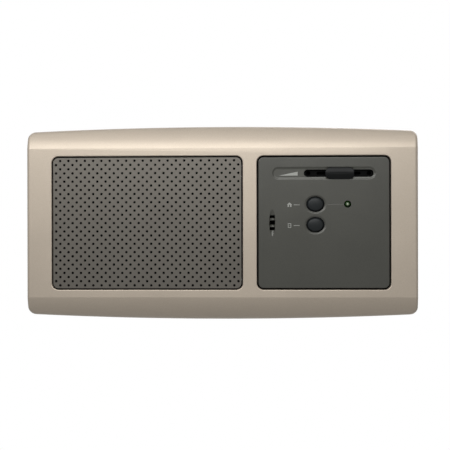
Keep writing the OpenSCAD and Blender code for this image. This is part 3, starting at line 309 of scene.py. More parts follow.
def moulded_plastic(name, colour, roughness, grain=PLASTIC_GRAIN, relief=PLASTIC_RELIEF, shine=MATT_SHINE):
    finish = Finish(name, colour, roughness, shine=shine)
    return finish.weathered(grain, mottle=45.0, amount=0.07, rough_amount=0.05, relief=relief).material


CRYSTAL_SCALE = 420.0
CRYSTAL_SHADE = (0.9, 1.06)
HANDLING_SCALE = 120.0
HANDLING_SHADE = (0.9, 1.05)
HANDLING_POLISH = 0.08
HANDLING_DULLNESS = 0.1
HANDLING_RELIEF = 0.01 * MM


def plated_metal(name, colour, roughness):
    """Plated metal: pale crystals and faint handling marks."""
    finish = Finish(name, colour, roughness, BARE_METAL)
    crystals = finish.spread(finish.cells(CRYSTAL_SCALE), *CRYSTAL_SHADE, FULL_SPAN)
    marks = finish.noise(HANDLING_SCALE, FINE_DETAIL)
    shade = finish.math("MULTIPLY", crystals, finish.spread(marks, *HANDLING_SHADE))
    finish.set_colour(finish.brightness(shade))
    finish.set_roughness(finish.spread(marks, roughness - HANDLING_POLISH, roughness + HANDLING_DULLNESS))
    finish.set_relief(marks, HANDLING_RELIEF)
    return finish.material


FUZZ_SCALE = 2200.0
FUZZ_SHADE = (0.85, 1.1)
WEAVE_SHADE = (0.55, 1.2)
WEAVE_RELIEF = 0.08 * MM


def woven_cloth(name, colour, roughness, threads, sheen):
    """Plain weave: two crossing sets of threads, with some fuzz."""
    finish = Finish(name, colour, roughness, shine=sheen)
    weave = finish.math("MAXIMUM", finish.bands("X", threads), finish.bands("Z", threads))
    fuzz = finish.spread(finish.noise(FUZZ_SCALE), *FUZZ_SHADE)
    shade = finish.math("MULTIPLY", finish.spread(weave, *WEAVE_SHADE, FULL_SPAN), fuzz)
    finish.set_colour(finish.brightness(shade))
    finish.set_relief(weave, WEAVE_RELIEF)
    finish.shader.inputs["Sheen Weight"].default_value = sheen
    return finish.material


STREAK_SCALE = 60.0
STREAK_STRETCH = (1.0, 30.0, 1.0)
STREAK_SHADE = (0.86, 1.1)
STREAK_ROUGHNESS = (0.5, 0.72)
PIT_SCALE = 900.0
PIT_SHADE = (0.9, 1.06)
PIT_RELIEF = 0.03 * MM


def ferrite_finish():
    """Ground ceramic: fine pits and grinding streaks."""
    finish = Finish("ferrite", srgb(62, 62, 65), roughness=0.62, metallic=0.25)
    streaks = finish.noise(STREAK_SCALE, FINE_DETAIL, finish.stretched(*STREAK_STRETCH))
    pits = finish.noise(PIT_SCALE)
    shade = finish.math("MULTIPLY", finish.spread(streaks, *STREAK_SHADE), finish.spread(pits, *PIT_SHADE))
    finish.set_colour(finish.brightness(shade))
    finish.set_roughness(finish.spread(streaks, *STREAK_ROUGHNESS))
    finish.set_relief(pits, PIT_RELIEF)
    return finish.material


FIBRE_SCALE = 700.0
FIBRE_DETAIL = 5.0
FIBRE_SHADE = (0.75, 1.3)
FIBRE_RELIEF = 0.05 * MM


def paper_finish():
    """Pressed pulp, mottled by its fibres."""
    finish = Finish("cone_paper", srgb(46, 45, 44), roughness=0.85)
    fibres = finish.noise(FIBRE_SCALE, FIBRE_DETAIL)
    finish.set_colour(finish.brightness(finish.spread(fibres, *FIBRE_SHADE)))
    finish.set_relief(fibres, FIBRE_RELIEF)
    return finish.material


TURN_SCALE = 800.0
TURN_SHADE = (0.6, 1.1)
TURN_RELIEF = 0.06 * MM


def winding_finish():
    """Enamelled copper wire, turn beside turn along the coil."""
    finish = Finish("copper_coil", srgb(188, 108, 58), 0.32, BARE_METAL)
    turns = finish.bands("Y", TURN_SCALE)
    finish.set_colour(finish.brightness(finish.spread(turns, *TURN_SHADE, FULL_SPAN)))
    finish.set_relief(turns, TURN_RELIEF)
    return finish.material


TRACK_PATTERN = {"Scale": 95.0, "Mortar Size": 0.06, "Mortar Smooth": 0.1}
TRACK_SHADE = (0.92, 1.35)
TRACK_RELIEF = 0.03 * MM
MASK_SCALE = 60.0
MASK_SHADE = 0.06
MASK_ROUGHNESS = (0.3, 0.46)


def board_finish():
    """Green solder mask over copper tracks."""
    finish = Finish("board_green", srgb(28, 92, 46), roughness=0.38)
    flat = add(finish.tree, "ShaderNodeCombineXYZ", {0: finish.axis("X"), 1: finish.axis("Z")}).outputs[0]
    tracks = add(finish.tree, "ShaderNodeTexBrick", {"Vector": flat, **TRACK_PATTERN}).outputs["Fac"]
    mask = finish.noise(MASK_SCALE, CLOUD_DETAIL)
    shade = finish.math("ADD", finish.spread(tracks, *TRACK_SHADE, FULL_SPAN),
                        finish.spread(mask, -MASK_SHADE, MASK_SHADE))
    finish.set_colour(finish.brightness(shade))
    finish.set_roughness(finish.spread(mask, *MASK_ROUGHNESS))
    finish.set_relief(tracks, TRACK_RELIEF)
    return finish.material


BAND_PITCH = 1.1 * MM
BAND_HALF = BAND_PITCH / 4
BAND_COLOURS = (srgb(110, 52, 26), srgb(24, 24, 24), srgb(176, 40, 30), srgb(196, 150, 60))
RESISTOR_HALF = 3.0 * MM
LACQUER_SHADE = (0.93, 1.05)
TINNED = srgb(196, 196, 192)


def resistor_finish():
    """Tan lacquer with four colour bands round the body, and tinned leads past its ends."""
    finish = Finish("resistor_tan", srgb(214, 186, 140), roughness=0.35)
    low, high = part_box("resistors")
    along = finish.math("SUBTRACT", finish.axis("Z"), (low.z + high.z) / 2)
    colour = finish.brightness(finish.spread(finish.noise(scale=300.0), *LACQUER_SHADE))
    for i, band in enumerate(BAND_COLOURS):
        middle = (i - (len(BAND_COLOURS) - 1) / 2) * BAND_PITCH
        inputs = {0: along, 1: middle, 2: BAND_HALF}
        on = add(finish.tree, "ShaderNodeMath", inputs, operation="COMPARE").outputs[0]
        colour = finish.mix(on, colour, band)
    lead = finish.math("GREATER_THAN", finish.math("ABSOLUTE", along, 0.0), RESISTOR_HALF)
    finish.set_colour(finish.mix(lead, colour, TINNED))
    return finish.material


END_DEPTH = 0.05 * MM
SLEEVE_SHADE = (0.92, 1.08)
CAN_SHADE = (0.85, 1.1)
CAN_ALUMINIUM = srgb(176, 178, 180)


def capacitor_finish():
    """Dark blue sleeve round a can with a bare aluminium end."""
    finish = Finish("capacitor_blue", srgb(38, 48, 86), roughness=0.3)
    end = finish.math("GREATER_THAN", finish.axis("Y"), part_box("filter_capacitors")[1].y - END_DEPTH)
    sleeve = finish.brightness(finish.spread(finish.noise(scale=200.0), *SLEEVE_SHADE))
    can = finish.brightness(finish.spread(finish.noise(scale=500.0), *CAN_SHADE), CAN_ALUMINIUM)
    finish.set_colour(finish.mix(end, sleeve, can))
    finish.set_relief(finish.noise(scale=900.0), distance=0.01 * MM)
    return finish.material


# Painted highlight: pale green in the middle of the lens, fading out to the lens's deep green tint at the
# rim
HIGHLIGHT_R = 0.25 * MM
RIM_R = 1.0 * MM
HIGHLIGHT_GREEN = srgb(160, 172, 146)
RIM_GREEN = srgb(16, 44, 6)


def lens_finish():
    """Tinted clear resin, deep green towards the rim, with a pale painted highlight in the middle."""
    finish = Finish("lens_green", srgb(60, 96, 48), roughness=0.12, shine=MATT_SHINE)
    low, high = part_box("indicator_lens")
    middle = (low + high) / 2
    out_x = finish.math("SUBTRACT", finish.axis("X"), middle.x)
    out_z = finish.math("SUBTRACT", finish.axis("Z"), middle.z)
    squares = finish.math("ADD", finish.math("MULTIPLY", out_x, out_x),
                          finish.math("MULTIPLY", out_z, out_z))
    # Painted highlight in the middle, deep green tint towards the rim
    rim = finish.spread(finish.math("SQRT", squares, 0.0), 0.0, 1.0, (HIGHLIGHT_R, RIM_R))
    finish.set_colour(finish.mix(rim, HIGHLIGHT_GREEN, RIM_GREEN))
    return finish.material


FELT_DEPTH = 0.05 * MM
FELT_SCALE = 1500.0
FELT_SHADE = (0.6, 1.2)
FELT_BLACK = srgb(14, 14, 14)
FELT_RELIEF = 0.02 * MM
DRAWN_SCALE = 260.0
DRAWN_SHADE = (0.9, 1.05)


def microphone_finish():
    """Drawn aluminium can with a black felt disc over its front."""
    finish = Finish("mic_can", srgb(196, 198, 200), roughness=0.45)
    can = finish.math("GREATER_THAN", finish.axis("Y"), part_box("microphone")[0].y + FELT_DEPTH)
    fuzz = finish.noise(FELT_SCALE)
    felt = finish.brightness(finish.spread(fuzz, *FELT_SHADE), FELT_BLACK)
    metal = finish.brightness(finish.spread(finish.noise(DRAWN_SCALE), *DRAWN_SHADE))
    finish.set_colour(finish.mix(can, felt, metal))
    for socket, most in (("Metallic", BARE_METAL), ("Specular IOR Level", PLAIN_SHINE)):
        finish.tree.links.new(finish.math("MULTIPLY", can, most), finish.shader.inputs[socket])
    finish.set_relief(fuzz, FELT_RELIEF)
    return finish.material


def wire_finish(name, colour):
    finish = Finish(name, colour, roughness=0.42)
    finish.weathered(grain=900.0, mottle=60.0, amount=0.08, rough_amount=0.05, relief=0.01 * MM)
    return finish.material


def floor_finish():
    """Pale paint that is near white as a background, and takes the station's shadow."""
    finish = Finish("floor", srgb(232, 231, 228), roughness=0.7)
    finish.weathered(grain=90.0, mottle=2.0, amount=0.015, rough_amount=0.03, relief=0.05 * MM)
    finish.shader.inputs["Emission Color"].default_value = (1, 1, 1, 1)
    glow = finish.math("MULTIPLY", background_ray(finish.tree), FLOOR_GLOW)
    finish.tree.links.new(glow, finish.shader.inputs["Emission Strength"])
    return finish.material


CHAMPAGNE = metallic_paint("champagne_paint", srgb(166, 155, 141), roughness=0.45, metallic=0.42,
                           flake_share=0.06, shine=0.4)
GRILLE = metallic_paint("grille_paint", srgb(85, 82, 77), roughness=0.45, metallic=0.92,
                        flake_share=0.08, shine=0.2)
PANEL = metallic_paint("panel_grey", srgb(58, 58, 52), roughness=0.32, metallic=0.15,
                       flake_share=0.12, shine=0.45)
CONTROL = moulded_plastic("control_black", srgb(24, 27, 28), 0.36, shine=0.15)
PRINT = moulded_plastic("print_grey", srgb(156, 157, 152), 0.6)
ZINC = plated_metal("zinc_steel", srgb(184, 187, 190), 0.34)
IRON = plated_metal("plated_iron", srgb(172, 170, 164), 0.38)

# Each finish, with the nodes that have it
FINISHES = {
    CHAMPAGNE: ["front_frame"],
    GRILLE: ["speaker_grille"],
    woven_cloth("black_cloth", srgb(9, 9, 9), 0.9, threads=900.0, sheen=0.03): ["grille_cloth"],
    moulded_plastic("chassis_black", srgb(38, 38, 39), 0.6, grain=1100.0, relief=0.03 * MM): ["chassis"],
    PANEL: ["control_panel"],
    CONTROL: ["house_button", "door_button"],
    moulded_plastic("knob_black", srgb(9, 10, 10), 0.36, shine=0.1): ["volume_knob"],
    moulded_plastic("lever_black", srgb(30, 30, 31), 0.5): ["volume_pot_lever"],
    # Painted shade: the pot frame seen through the slider's slot is made near black, standing in for the
    # slot's shade
    moulded_plastic("black_steel", srgb(5, 5, 5), 0.5, shine=0.03): ["volume_pot_frame"],
    ZINC: ["speaker_basket", "house_switch_dome", "door_switch_dome", "indicator_leads",
           "terminal_screws", "speaker_screws", "panel_screws", "board_screws"],
    # Painted shade: the pot base seen through the slider's slot is made near black, standing in for the
    # slot's shade
    moulded_plastic("pot_base_painted_shade", srgb(16, 15, 14), 0.6, grain=700.0, shine=0.05): ["volume_pot_base"],
    moulded_plastic("phenolic_brown", srgb(78, 48, 28), 0.55, grain=700.0): ["speaker_terminal_strip"],
    lens_finish(): ["indicator_lens"],
    moulded_plastic("nylon_white", srgb(218, 214, 198), 0.5): [
        "house_switch_plunger", "door_switch_plunger", "indicator_spacer", "speaker_connector",
        "speaker_plug"],
    microphone_finish(): ["microphone"],
    moulded_plastic("black_rubber", srgb(28, 28, 28), 0.8, grain=900.0, relief=0.03 * MM): [
        "microphone_boot", "speaker_gasket"],
    moulded_plastic("edge_rubber", srgb(24, 24, 25), 0.7, grain=900.0, relief=0.02 * MM): [
        "speaker_surround"],
    board_finish(): ["circuit_board"],
    moulded_plastic("terminal_green", srgb(44, 116, 66), 0.45): ["terminal_block"],
    moulded_plastic("chip_black", srgb(30, 30, 32), 0.55, grain=2400.0, relief=0.02 * MM): [
        "amplifier_chip", "logic_chip", "house_switch_body", "door_switch_body"],
    capacitor_finish(): ["filter_capacitors"],
    resistor_finish(): ["resistors"],
    wire_finish("wire_red", srgb(166, 30, 26)): ["speaker_lead_red"],
    wire_finish("wire_black", srgb(26, 26, 26)): ["speaker_lead_black"],
    plated_metal("lug_brass", srgb(206, 172, 96), 0.34): ["speaker_lugs"],
    IRON: ["speaker_top_plate", "speaker_yoke"],
    ferrite_finish(): ["speaker_magnet"],
    paper_finish(): ["speaker_cone", "speaker_dust_cap"],
    winding_finish(): ["speaker_voice_coil"],
    woven_cloth("spider_cloth", srgb(190, 146, 72), 0.8, threads=700.0, sheen=0.2): ["speaker_spider"],
}
FINISH_OF = {node: material for material, members in FINISHES.items() for node in members}
BODIES = frame["record"]["behaviour"]["bodies"]
BODY_OF = {node: body for body, members in BODIES.items() for node in members}

for node_name, node_object in nodes.items():
    node_object.data.materials.clear()
    node_object.data.materials.append(FINISH_OF[node_name])


# Meshes

WELD = 0.0005 * MM
FLAT_ANGLE = math.radians(0.4)
SHARP_ANGLE = math.radians(28)
CREASE_ANGLE = math.radians(38)
BROAD_CUTS = 4
SMALL_CUTS = 2


def make_object(name, bm, material):
    """An object from a bmesh, smooth but for its sharp edges, with its broad faces kept flat."""
    mesh = bpy.data.meshes.new(name)
    bm.to_mesh(mesh)
    bm.free()
    mesh.shade_smooth()
    mesh.set_sharp_from_angle(angle=CREASE_ANGLE)
    mesh.materials.append(material)
    piece = bpy.data.objects.new(name, mesh)
    scene.collection.objects.link(piece)
    normals = piece.modifiers.new("normals", "WEIGHTED_NORMAL")
    normals.keep_sharp = True
    return piece


def stand_for(piece, node, rides=True):
    """The piece takes the place of a CAD node, which is hidden, and goes on its body where it rides on one.
    """
    if rides:
        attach(piece, BODY_OF[node])
    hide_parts(node)
    return piece


def middle_of(node):
    low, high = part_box(node)
    return (low + high) / 2


def anywhere(edge):
    return True


def mesh_copy(node):
    """A CAD node's mesh as a bmesh, with its faces joined."""
    bm = bmesh.new()
    bm.from_mesh(nodes[node].data)
    bmesh.ops.remove_doubles(bm, verts=bm.verts, dist=WELD)
    return bm


def softened(node, cuts, clamp=True, shape=None):
    """A copy of a CAD node with rounded edges, after a step that shapes it.

    Each cut has a test for its edges, a width and a count of steps.
    """
    bm = mesh_copy(node)
    bmesh.ops.dissolve_limit(bm, angle_limit=FLAT_ANGLE, verts=bm.verts, edges=bm.edges)
    if shape:
        shape(bm)
    for chosen, width, steps in cuts:
        edges = [e for e in bm.edges if e.is_manifold and e.calc_face_angle() > SHARP_ANGLE and chosen(e)]
        bmesh.ops.bevel(bm, geom=edges, offset=width, offset_type="OFFSET", segments=steps, profile=0.5,
                        affect="EDGES", clamp_overlap=clamp)
    return stand_for(make_object(node + "_rounded", bm, FINISH_OF[node]), node)


# Front frame

BOW = 3.1 * MM
CORNER = 4.5 * MM
LEAST_CORNER = 0.5 * MM
CREASE_Z = 44.5 * MM
ROLL_START = math.radians(12)
ROLL_END = math.radians(55)
WALL = 2.5 * MM
OUTER_EDGE = 1.7 * MM
RIM_EDGE = 0.4 * MM
INSERT_GAP = 0.9 * MM
OPENING_R = 4.0 * MM
OPENING_EDGE = 0.6 * MM
COLLAR = 1.2 * MM
COLLAR_DEPTH = 5.0 * MM
HOOK_PITCH = 84 * MM
HOOK_W = 10 * MM
HOOK_T = 1.6 * MM
HOOK_Z = 50.9 * MM
HOOK_ROOT = 8.0 * MM
HOOK_END = 0.3 * MM
BARB_T = 1.2 * MM
BARB_BITE = 1.4 * MM
ROLL_ROWS = 14
CORNER_STEPS = 8
BOW_STEPS = 20
EDGE_STEPS = 6
OPENING_STEPS = 10

half_w = frame_high.x
half_h = frame_high.z
front_y = frame_low.y
roll_r = (half_h - CREASE_Z) / (math.sin(ROLL_END) - math.sin(ROLL_START))
roll_axis_y = front_y + roll_r * math.cos(ROLL_START)
roll_axis_z = CREASE_Z - roll_r * math.sin(ROLL_START)


def crease_height(inset):
    return roll_axis_z + math.sqrt((roll_r - inset) ** 2 - (roll_axis_y - front_y - inset) ** 2)


def face_depth(z, inset):
    """Depth of the frame's flat and rolled face at a height, drawn in by an inset."""
    if abs(z) <= crease_height(inset):
        return front_y + inset
    return roll_axis_y - math.sqrt((roll_r - inset) ** 2 - (abs(z) - roll_axis_z) ** 2)


def top_outline(inset, crease):
    """The upper half of the bowed outline, drawn in by an inset, from the right crease to the left one."""
    bow_r = (half_w ** 2 + BOW ** 2) / (2 * BOW)
    corner = max(CORNER - inset, LEAST_CORNER)
    arc_r = bow_r - inset
    arc_z = half_h - bow_r
    corner_x = half_w - inset - corner
    corner_z = arc_z + math.sqrt((arc_r - corner) ** 2 - corner_x ** 2)
    lean = math.asin(corner_x / (arc_r - corner))
    right = [(half_w - inset, crease + (corner_z - crease) * j / ROLL_ROWS) for j in range(ROLL_ROWS)]
    for i in range(CORNER_STEPS + 1):
        turn = (math.pi / 2 - lean) * i / CORNER_STEPS
        right.append((corner_x + corner * math.cos(turn), corner_z + corner * math.sin(turn)))
    for i in range(1, BOW_STEPS + 1):
        turn = lean * (1 - i / BOW_STEPS)
        right.append((arc_r * math.sin(turn), arc_z + arc_r * math.cos(turn)))
    return right + [(-x, z) for x, z in reversed(right[:-1])]


def bridge(bm, first, second):
    """Faces between two closed rows of as many points."""
    for i in range(len(first)):
        j = (i + 1) % len(first)
        bm.faces.new((first[i], first[j], second[j], second[i]))


def face_shell(bm, section, rings, holes):
    """One skin of the frame: its wall and rounded edge, its two rolls and its flat, with holes in the flat.

    section is how far the skin lies inside the outer face. Each ring has an inset, a depth, and whether
    that depth is fixed or lies behind the face. Returns the first ring, at the rear.
    """
    crease = crease_height(section)
    rows = []
    for inset, depth, fixed in rings:
        top = top_outline(inset, crease)
        row = []
        for x, z in top + [(x, -z) for x, z in reversed(top)]:
            y = depth if fixed else face_depth(z, section) + depth
            row.append(bm.verts.new((x, y, z)))
        rows.append(row)
    for first, second in zip(rows, rows[1:]):
        bridge(bm, first, second)
    inner = rows[-1]
    half = len(inner) // 2
    flat_loop = []
    for top in (inner[:half], list(reversed(inner[half:]))):
        columns = [top[:ROLL_ROWS + 1]]
        for edge in top[ROLL_ROWS + 1:half - ROLL_ROWS - 1]:
            crease_z = math.copysign(crease, edge.co.z)
            column = []
            for j in range(ROLL_ROWS):
                z = crease_z + (edge.co.z - crease_z) * j / ROLL_ROWS
                column.append(bm.verts.new((edge.co.x, face_depth(z, section), z)))
            columns.append(column + [edge])
        columns.append(list(reversed(top[half - ROLL_ROWS - 1:])))
        for left, right in zip(columns, columns[1:]):
            for j in range(ROLL_ROWS):
                bm.faces.new((left[j], left[j + 1], right[j + 1], right[j]))
        flat_loop.append([column[0] for column in columns])
    loops = [flat_loop[0] + list(reversed(flat_loop[1]))] + holes
    verts = [v for loop in loops for v in loop]
    for corners in tessellate_polygon([[Vector((v.co.x, v.co.z, 0)) for v in loop] for loop in loops]):
        bm.faces.new([verts[i] for i in corners])
    return rows[0]


def rounded_loop(low, high, grow, radius):
    """Points round an opening in X and Z, drawn out by a distance."""
    r = radius + grow
    points = []
    corners = ((high.x, high.z, 0), (low.x, high.z, 1), (low.x, low.z, 2), (high.x, low.z, 3))
    for x, z, quarter in corners:
        cx = x - math.copysign(radius, x - (low.x + high.x) / 2)
        cz = z - math.copysign(radius, z - (low.z + high.z) / 2)
        for i in range(OPENING_STEPS + 1):
            turn = math.pi / 2 * (quarter + i / OPENING_STEPS)
            points.append((cx + r * math.cos(turn), cz + r * math.sin(turn)))
    return points


def opening(bm, low, high):
    """The rounded edge, the wall and the rib of one opening.

    Returns its rows on the outer and the inner face.
    """
    gap = Vector((INSERT_GAP, 0, INSERT_GAP))
    profile = []
    for i in range(EDGE_STEPS + 1):
        turn = math.pi / 2 * i / EDGE_STEPS
        profile.append((OPENING_EDGE * (1 - math.sin(turn)), OPENING_EDGE * (1 - math.cos(turn))))
    profile += [(0.0, COLLAR_DEPTH), (COLLAR, COLLAR_DEPTH), (COLLAR, WALL)]
    rows = []
    for grow, depth in profile:
        points = rounded_loop(low - gap, high + gap, grow, OPENING_R)
        rows.append([bm.verts.new((x, front_y + depth, z)) for x, z in points])
    for first, second in zip(rows, rows[1:]):
        bridge(bm, first, second)
    return rows[0], rows[-1]


def block(bm, low, high, edge):
    """A closed box with rounded edges."""
    made = bmesh.ops.create_cube(bm, size=1.0)["verts"]
    middle = (Vector(low) + Vector(high)) / 2
    size = Vector(high) - Vector(low)
    for v in made:
        v.co = Vector(a * b for a, b in zip(v.co, size)) + middle
    edges = list({e for v in made for e in v.link_edges})
    bmesh.ops.bevel(bm, geom=edges, offset=edge, segments=SMALL_CUTS, profile=0.5, affect="EDGES",
                    clamp_overlap=True)


def make_front_frame():
    """One moulding: an outer and an inner skin, two openings, and the hooks that snap on the chassis."""
    bm = bmesh.new()
    outer = [(RIM_EDGE, 0.0, True), (0.0, -RIM_EDGE, True)]
    for i in range(EDGE_STEPS + 1):
        turn = math.pi / 2 * i / EDGE_STEPS
        outer.append((OUTER_EDGE * (1 - math.cos(turn)), OUTER_EDGE * (1 - math.sin(turn)), False))
    inner = [(WALL - RIM_EDGE, 0.0, True), (WALL, -RIM_EDGE, True), (WALL, 0.0, False)]
    holes = [opening(bm, low, high) for low, high in ((grille_low, grille_high), (panel_low, panel_high))]
    outer_rim = face_shell(bm, 0.0, outer, [hole[0] for hole in holes])
    inner_rim = face_shell(bm, WALL, inner, [hole[1] for hole in holes])
    bridge(bm, outer_rim, inner_rim)
    bmesh.ops.recalc_face_normals(bm, faces=bm.faces)
    for side in (-1, 1):
        for i in (-1, 0, 1):
            x0 = i * HOOK_PITCH - HOOK_W / 2
            arm = sorted((side * HOOK_Z, side * (HOOK_Z + HOOK_T)))
            barb = sorted((side * (HOOK_Z - BARB_BITE), side * (HOOK_Z + HOOK_T / 2)))
            block(bm, (x0, -HOOK_ROOT, arm[0]), (x0 + HOOK_W, -HOOK_END, arm[1]), RIM_EDGE / 2)
            block(bm, (x0, -HOOK_END - BARB_T, barb[0]), (x0 + HOOK_W, -HOOK_END, barb[1]), RIM_EDGE / 2)
    return stand_for(make_object("front_frame_moulding", bm, CHAMPAGNE), "front_frame")


make_front_frame()


# Control panel and knob

FRONT_TOUCH = 0.02 * MM
PANEL_EDGE = 0.5 * MM
PANEL_CORNER = 3.3 * MM
RECESS_EDGE = 0.2 * MM
HOLE_W = 11.0 * MM
HOLE_H = 9.4 * MM
DISH_W = 1.2 * MM
DISH_DEPTH = 0.5 * MM
DISH_HALF = HOLE_W / 2 + DISH_W
DISH_REACH = DISH_HALF + 0.1 * MM
DISH_SEAM = 0.03 * MM
DISH_EASE = 0.35
DISH_STEPS = 10
OVAL_STEPS = 72
KNOB_ROOM = 0.5 * MM
KNOB_EDGE = 0.3 * MM
KNOB_GAP = 0.3 * MM
KNOB_R = 3.2 * MM
KNOB_CROWN_R = 8.0 * MM
KNOB_ROWS = 8
KNOB_INMOST = 3.1 * MM
KNOB_SEAM = 0.02 * MM
SOCKET_REACH = 3.0 * MM


def panel_outline(edge):
    """An edge of the panel's front that runs round its outside."""
    half = (panel_high - panel_low) / 2
    return all(abs(v.co.y - panel_low.y) < FRONT_TOUCH
               and (abs(v.co.x - panel_middle.x) > half.x - PANEL_CORNER
                    or abs(v.co.z - panel_middle.z) > half.z - PANEL_CORNER) for v in edge.verts)


def oval_row(bm, middle, half_x, half_z, y, dome_r=None):
    """A closed oval row of points at a depth, that falls away from its middle as a dome does."""
    row = []
    for i in range(OVAL_STEPS):
        turn = 2 * math.pi * i / OVAL_STEPS
        x = half_x * math.cos(turn)
        z = half_z * math.sin(turn)
        fall = dome_r - math.sqrt(dome_r ** 2 - x ** 2 - z ** 2) if dome_r else 0.0
        row.append(bm.verts.new((middle.x + x, y + fall, middle.z + z)))
    return row


def row_edges(bm, row):
    return [bm.edges.get((row[i - 1], row[i])) for i in range(len(row))]


def curve_dish(bm, middle):
    """The dished surround of a button curves in from the panel's front to the button's hole."""
    def within(part, least, most):
        return all(abs(v.co.x - middle.x) < DISH_REACH and abs(v.co.z - middle.z) < DISH_REACH
                   and least - FRONT_TOUCH < v.co.y - panel_low.y < most + FRONT_TOUCH
                   for v in part.verts)

    slanted = [f for f in bm.faces if within(f, 0, DISH_DEPTH) and not within(f, 0, 0)]
    bmesh.ops.delete(bm, geom=slanted, context="FACES")
    rim = [e for e in bm.edges if e.is_boundary and within(e, 0, 0)]
    hole = [e for e in bm.edges if e.is_boundary and within(e, DISH_DEPTH, DISH_DEPTH)]
    rows = []
    for i in range(DISH_STEPS + 1):
        share = i / DISH_STEPS
        eased = share - DISH_EASE / 2 if share > DISH_EASE else share ** 2 / (2 * DISH_EASE)
        half_x = DISH_HALF - DISH_SEAM - (DISH_W - 2 * DISH_SEAM) * share
        y = panel_low.y + DISH_DEPTH * eased / (1 - DISH_EASE / 2)
        rows.append(oval_row(bm, middle, half_x, half_x * HOLE_H / HOLE_W, y))
    for first, second in zip(rows, rows[1:]):
        bridge(bm, first, second)
    bmesh.ops.bridge_loops(bm, edges=rim + row_edges(bm, rows[0]))
    bmesh.ops.bridge_loops(bm, edges=hole + row_edges(bm, rows[-1]))


def curve_dishes(bm):
    for node in ("house_button", "door_button"):
        curve_dish(bm, middle_of(node))
    bmesh.ops.recalc_face_normals(bm, faces=bm.faces)


def recess_edge(edge):
    """An edge of the panel's front that runs round the slider's recess."""
    return not panel_outline(edge) and all(
        abs(v.co.y - panel_low.y) < FRONT_TOUCH
        and knob_low.z - KNOB_ROOM < v.co.z < knob_high.z + KNOB_ROOM
        for v in edge.verts)


def crown_knob(bm):
    """A smooth crown with a rounded rim takes the place of the knob's front, down to its flat underside."""
    base_y = panel_low.y - KNOB_GAP

    def in_crown(face):
        depths = [v.co.y - base_y for v in face.verts]
        beyond_socket = any(abs(v.co.x - knob_middle.x) > SOCKET_REACH for v in face.verts)
        return max(depths) < FRONT_TOUCH and min(depths) < -FRONT_TOUCH and beyond_socket

    bmesh.ops.delete(bm, geom=[f for f in bm.faces if in_crown(f)], context="FACES")
    underside = [e for e in bm.edges if e.is_boundary]
    profile = []
    for i in range(KNOB_ROWS):
        profile.append((KNOB_INMOST + (KNOB_EDGE - KNOB_INMOST) * i / KNOB_ROWS, 0.0))
    for i in range(EDGE_STEPS + 1):
        turn = math.pi / 2 * i / EDGE_STEPS
        profile.append((KNOB_EDGE * (1 - math.sin(turn)), KNOB_EDGE * (1 - math.cos(turn))))
    rows = []
    for inset, drop in profile:
        row = []
        for x, z in rounded_loop(knob_low, knob_high, -inset, KNOB_R):
            fall = KNOB_CROWN_R - math.sqrt(KNOB_CROWN_R ** 2 - (z - knob_middle.z) ** 2)
            row.append(bm.verts.new((x, knob_low.y + fall + drop, z)))
        rows.append(row)
    foot = rounded_loop(knob_low, knob_high, -KNOB_SEAM, KNOB_R)
    rows.append([bm.verts.new((x, base_y, z)) for x, z in foot])
    for first, second in zip(rows, rows[1:]):
        bridge(bm, first, second)
    bm.faces.new(rows[0])
    bmesh.ops.bridge_loops(bm, edges=underside + row_edges(bm, rows[-1]))
    bmesh.ops.recalc_face_normals(bm, faces=bm.faces)


PANEL_CUTS = [(panel_outline, PANEL_EDGE, BROAD_CUTS), (recess_edge, RECESS_EDGE, BROAD_CUTS)]
softened("control_panel", PANEL_CUTS, clamp=False, shape=curve_dishes)
softened("volume_knob", [], shape=crown_knob)


# Push buttons

BUTTON_W = 10.2 * MM
BUTTON_H = 8.6 * MM
BUTTON_CROWN = 0.9 * MM
BUTTON_EDGE = 1.2 * MM
FLANGE_T = 1.0 * MM
STEM_R = 2.0 * MM
STEM_LEN = 0.1 * MM
CAP_ROWS = 8


def make_button(node):
    """A cap with a domed top and a rounded rim, on its flange and its stem."""
    low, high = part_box(node)
    middle = (low + high) / 2
    flange = (high - low) / 2
    flange_y = high.y - STEM_LEN - FLANGE_T
    crown_r = (BUTTON_W ** 2 / 4 + BUTTON_CROWN ** 2) / (2 * BUTTON_CROWN)
    bm = bmesh.new()

    rows = []
    for i in range(1, CAP_ROWS):
        share = i / CAP_ROWS
        half_x = (BUTTON_W / 2 - BUTTON_EDGE) * share
        half_z = (BUTTON_H / 2 - BUTTON_EDGE) * share
        rows.append(oval_row(bm, middle, half_x, half_z, low.y, crown_r))
    for i in range(EDGE_STEPS + 1):
        turn = math.pi / 2 * i / EDGE_STEPS
        inset = BUTTON_EDGE * (1 - math.sin(turn))
        drop = BUTTON_EDGE * (1 - math.cos(turn))
        rows.append(oval_row(bm, middle, BUTTON_W / 2 - inset, BUTTON_H / 2 - inset, low.y + drop, crown_r))
    rows.append(oval_row(bm, middle, BUTTON_W / 2, BUTTON_H / 2, flange_y))
    rows.append(oval_row(bm, middle, flange.x, flange.z, flange_y))
    rows.append(oval_row(bm, middle, flange.x, flange.z, flange_y + FLANGE_T))
    rows.append(oval_row(bm, middle, STEM_R, STEM_R, flange_y + FLANGE_T))
    rows.append(oval_row(bm, middle, STEM_R, STEM_R, high.y))
    for first, second in zip(rows, rows[1:]):
        bridge(bm, first, second)
    bm.faces.new(rows[0])
    bm.faces.new(rows[-1])
    bmesh.ops.recalc_face_normals(bm, faces=bm.faces)
    stand_for(make_object(node + "_cap", bm, CONTROL), node)


make_button("house_button")
make_button("door_button")


# Pieces at the rear, with the width of their rounded edges in mm

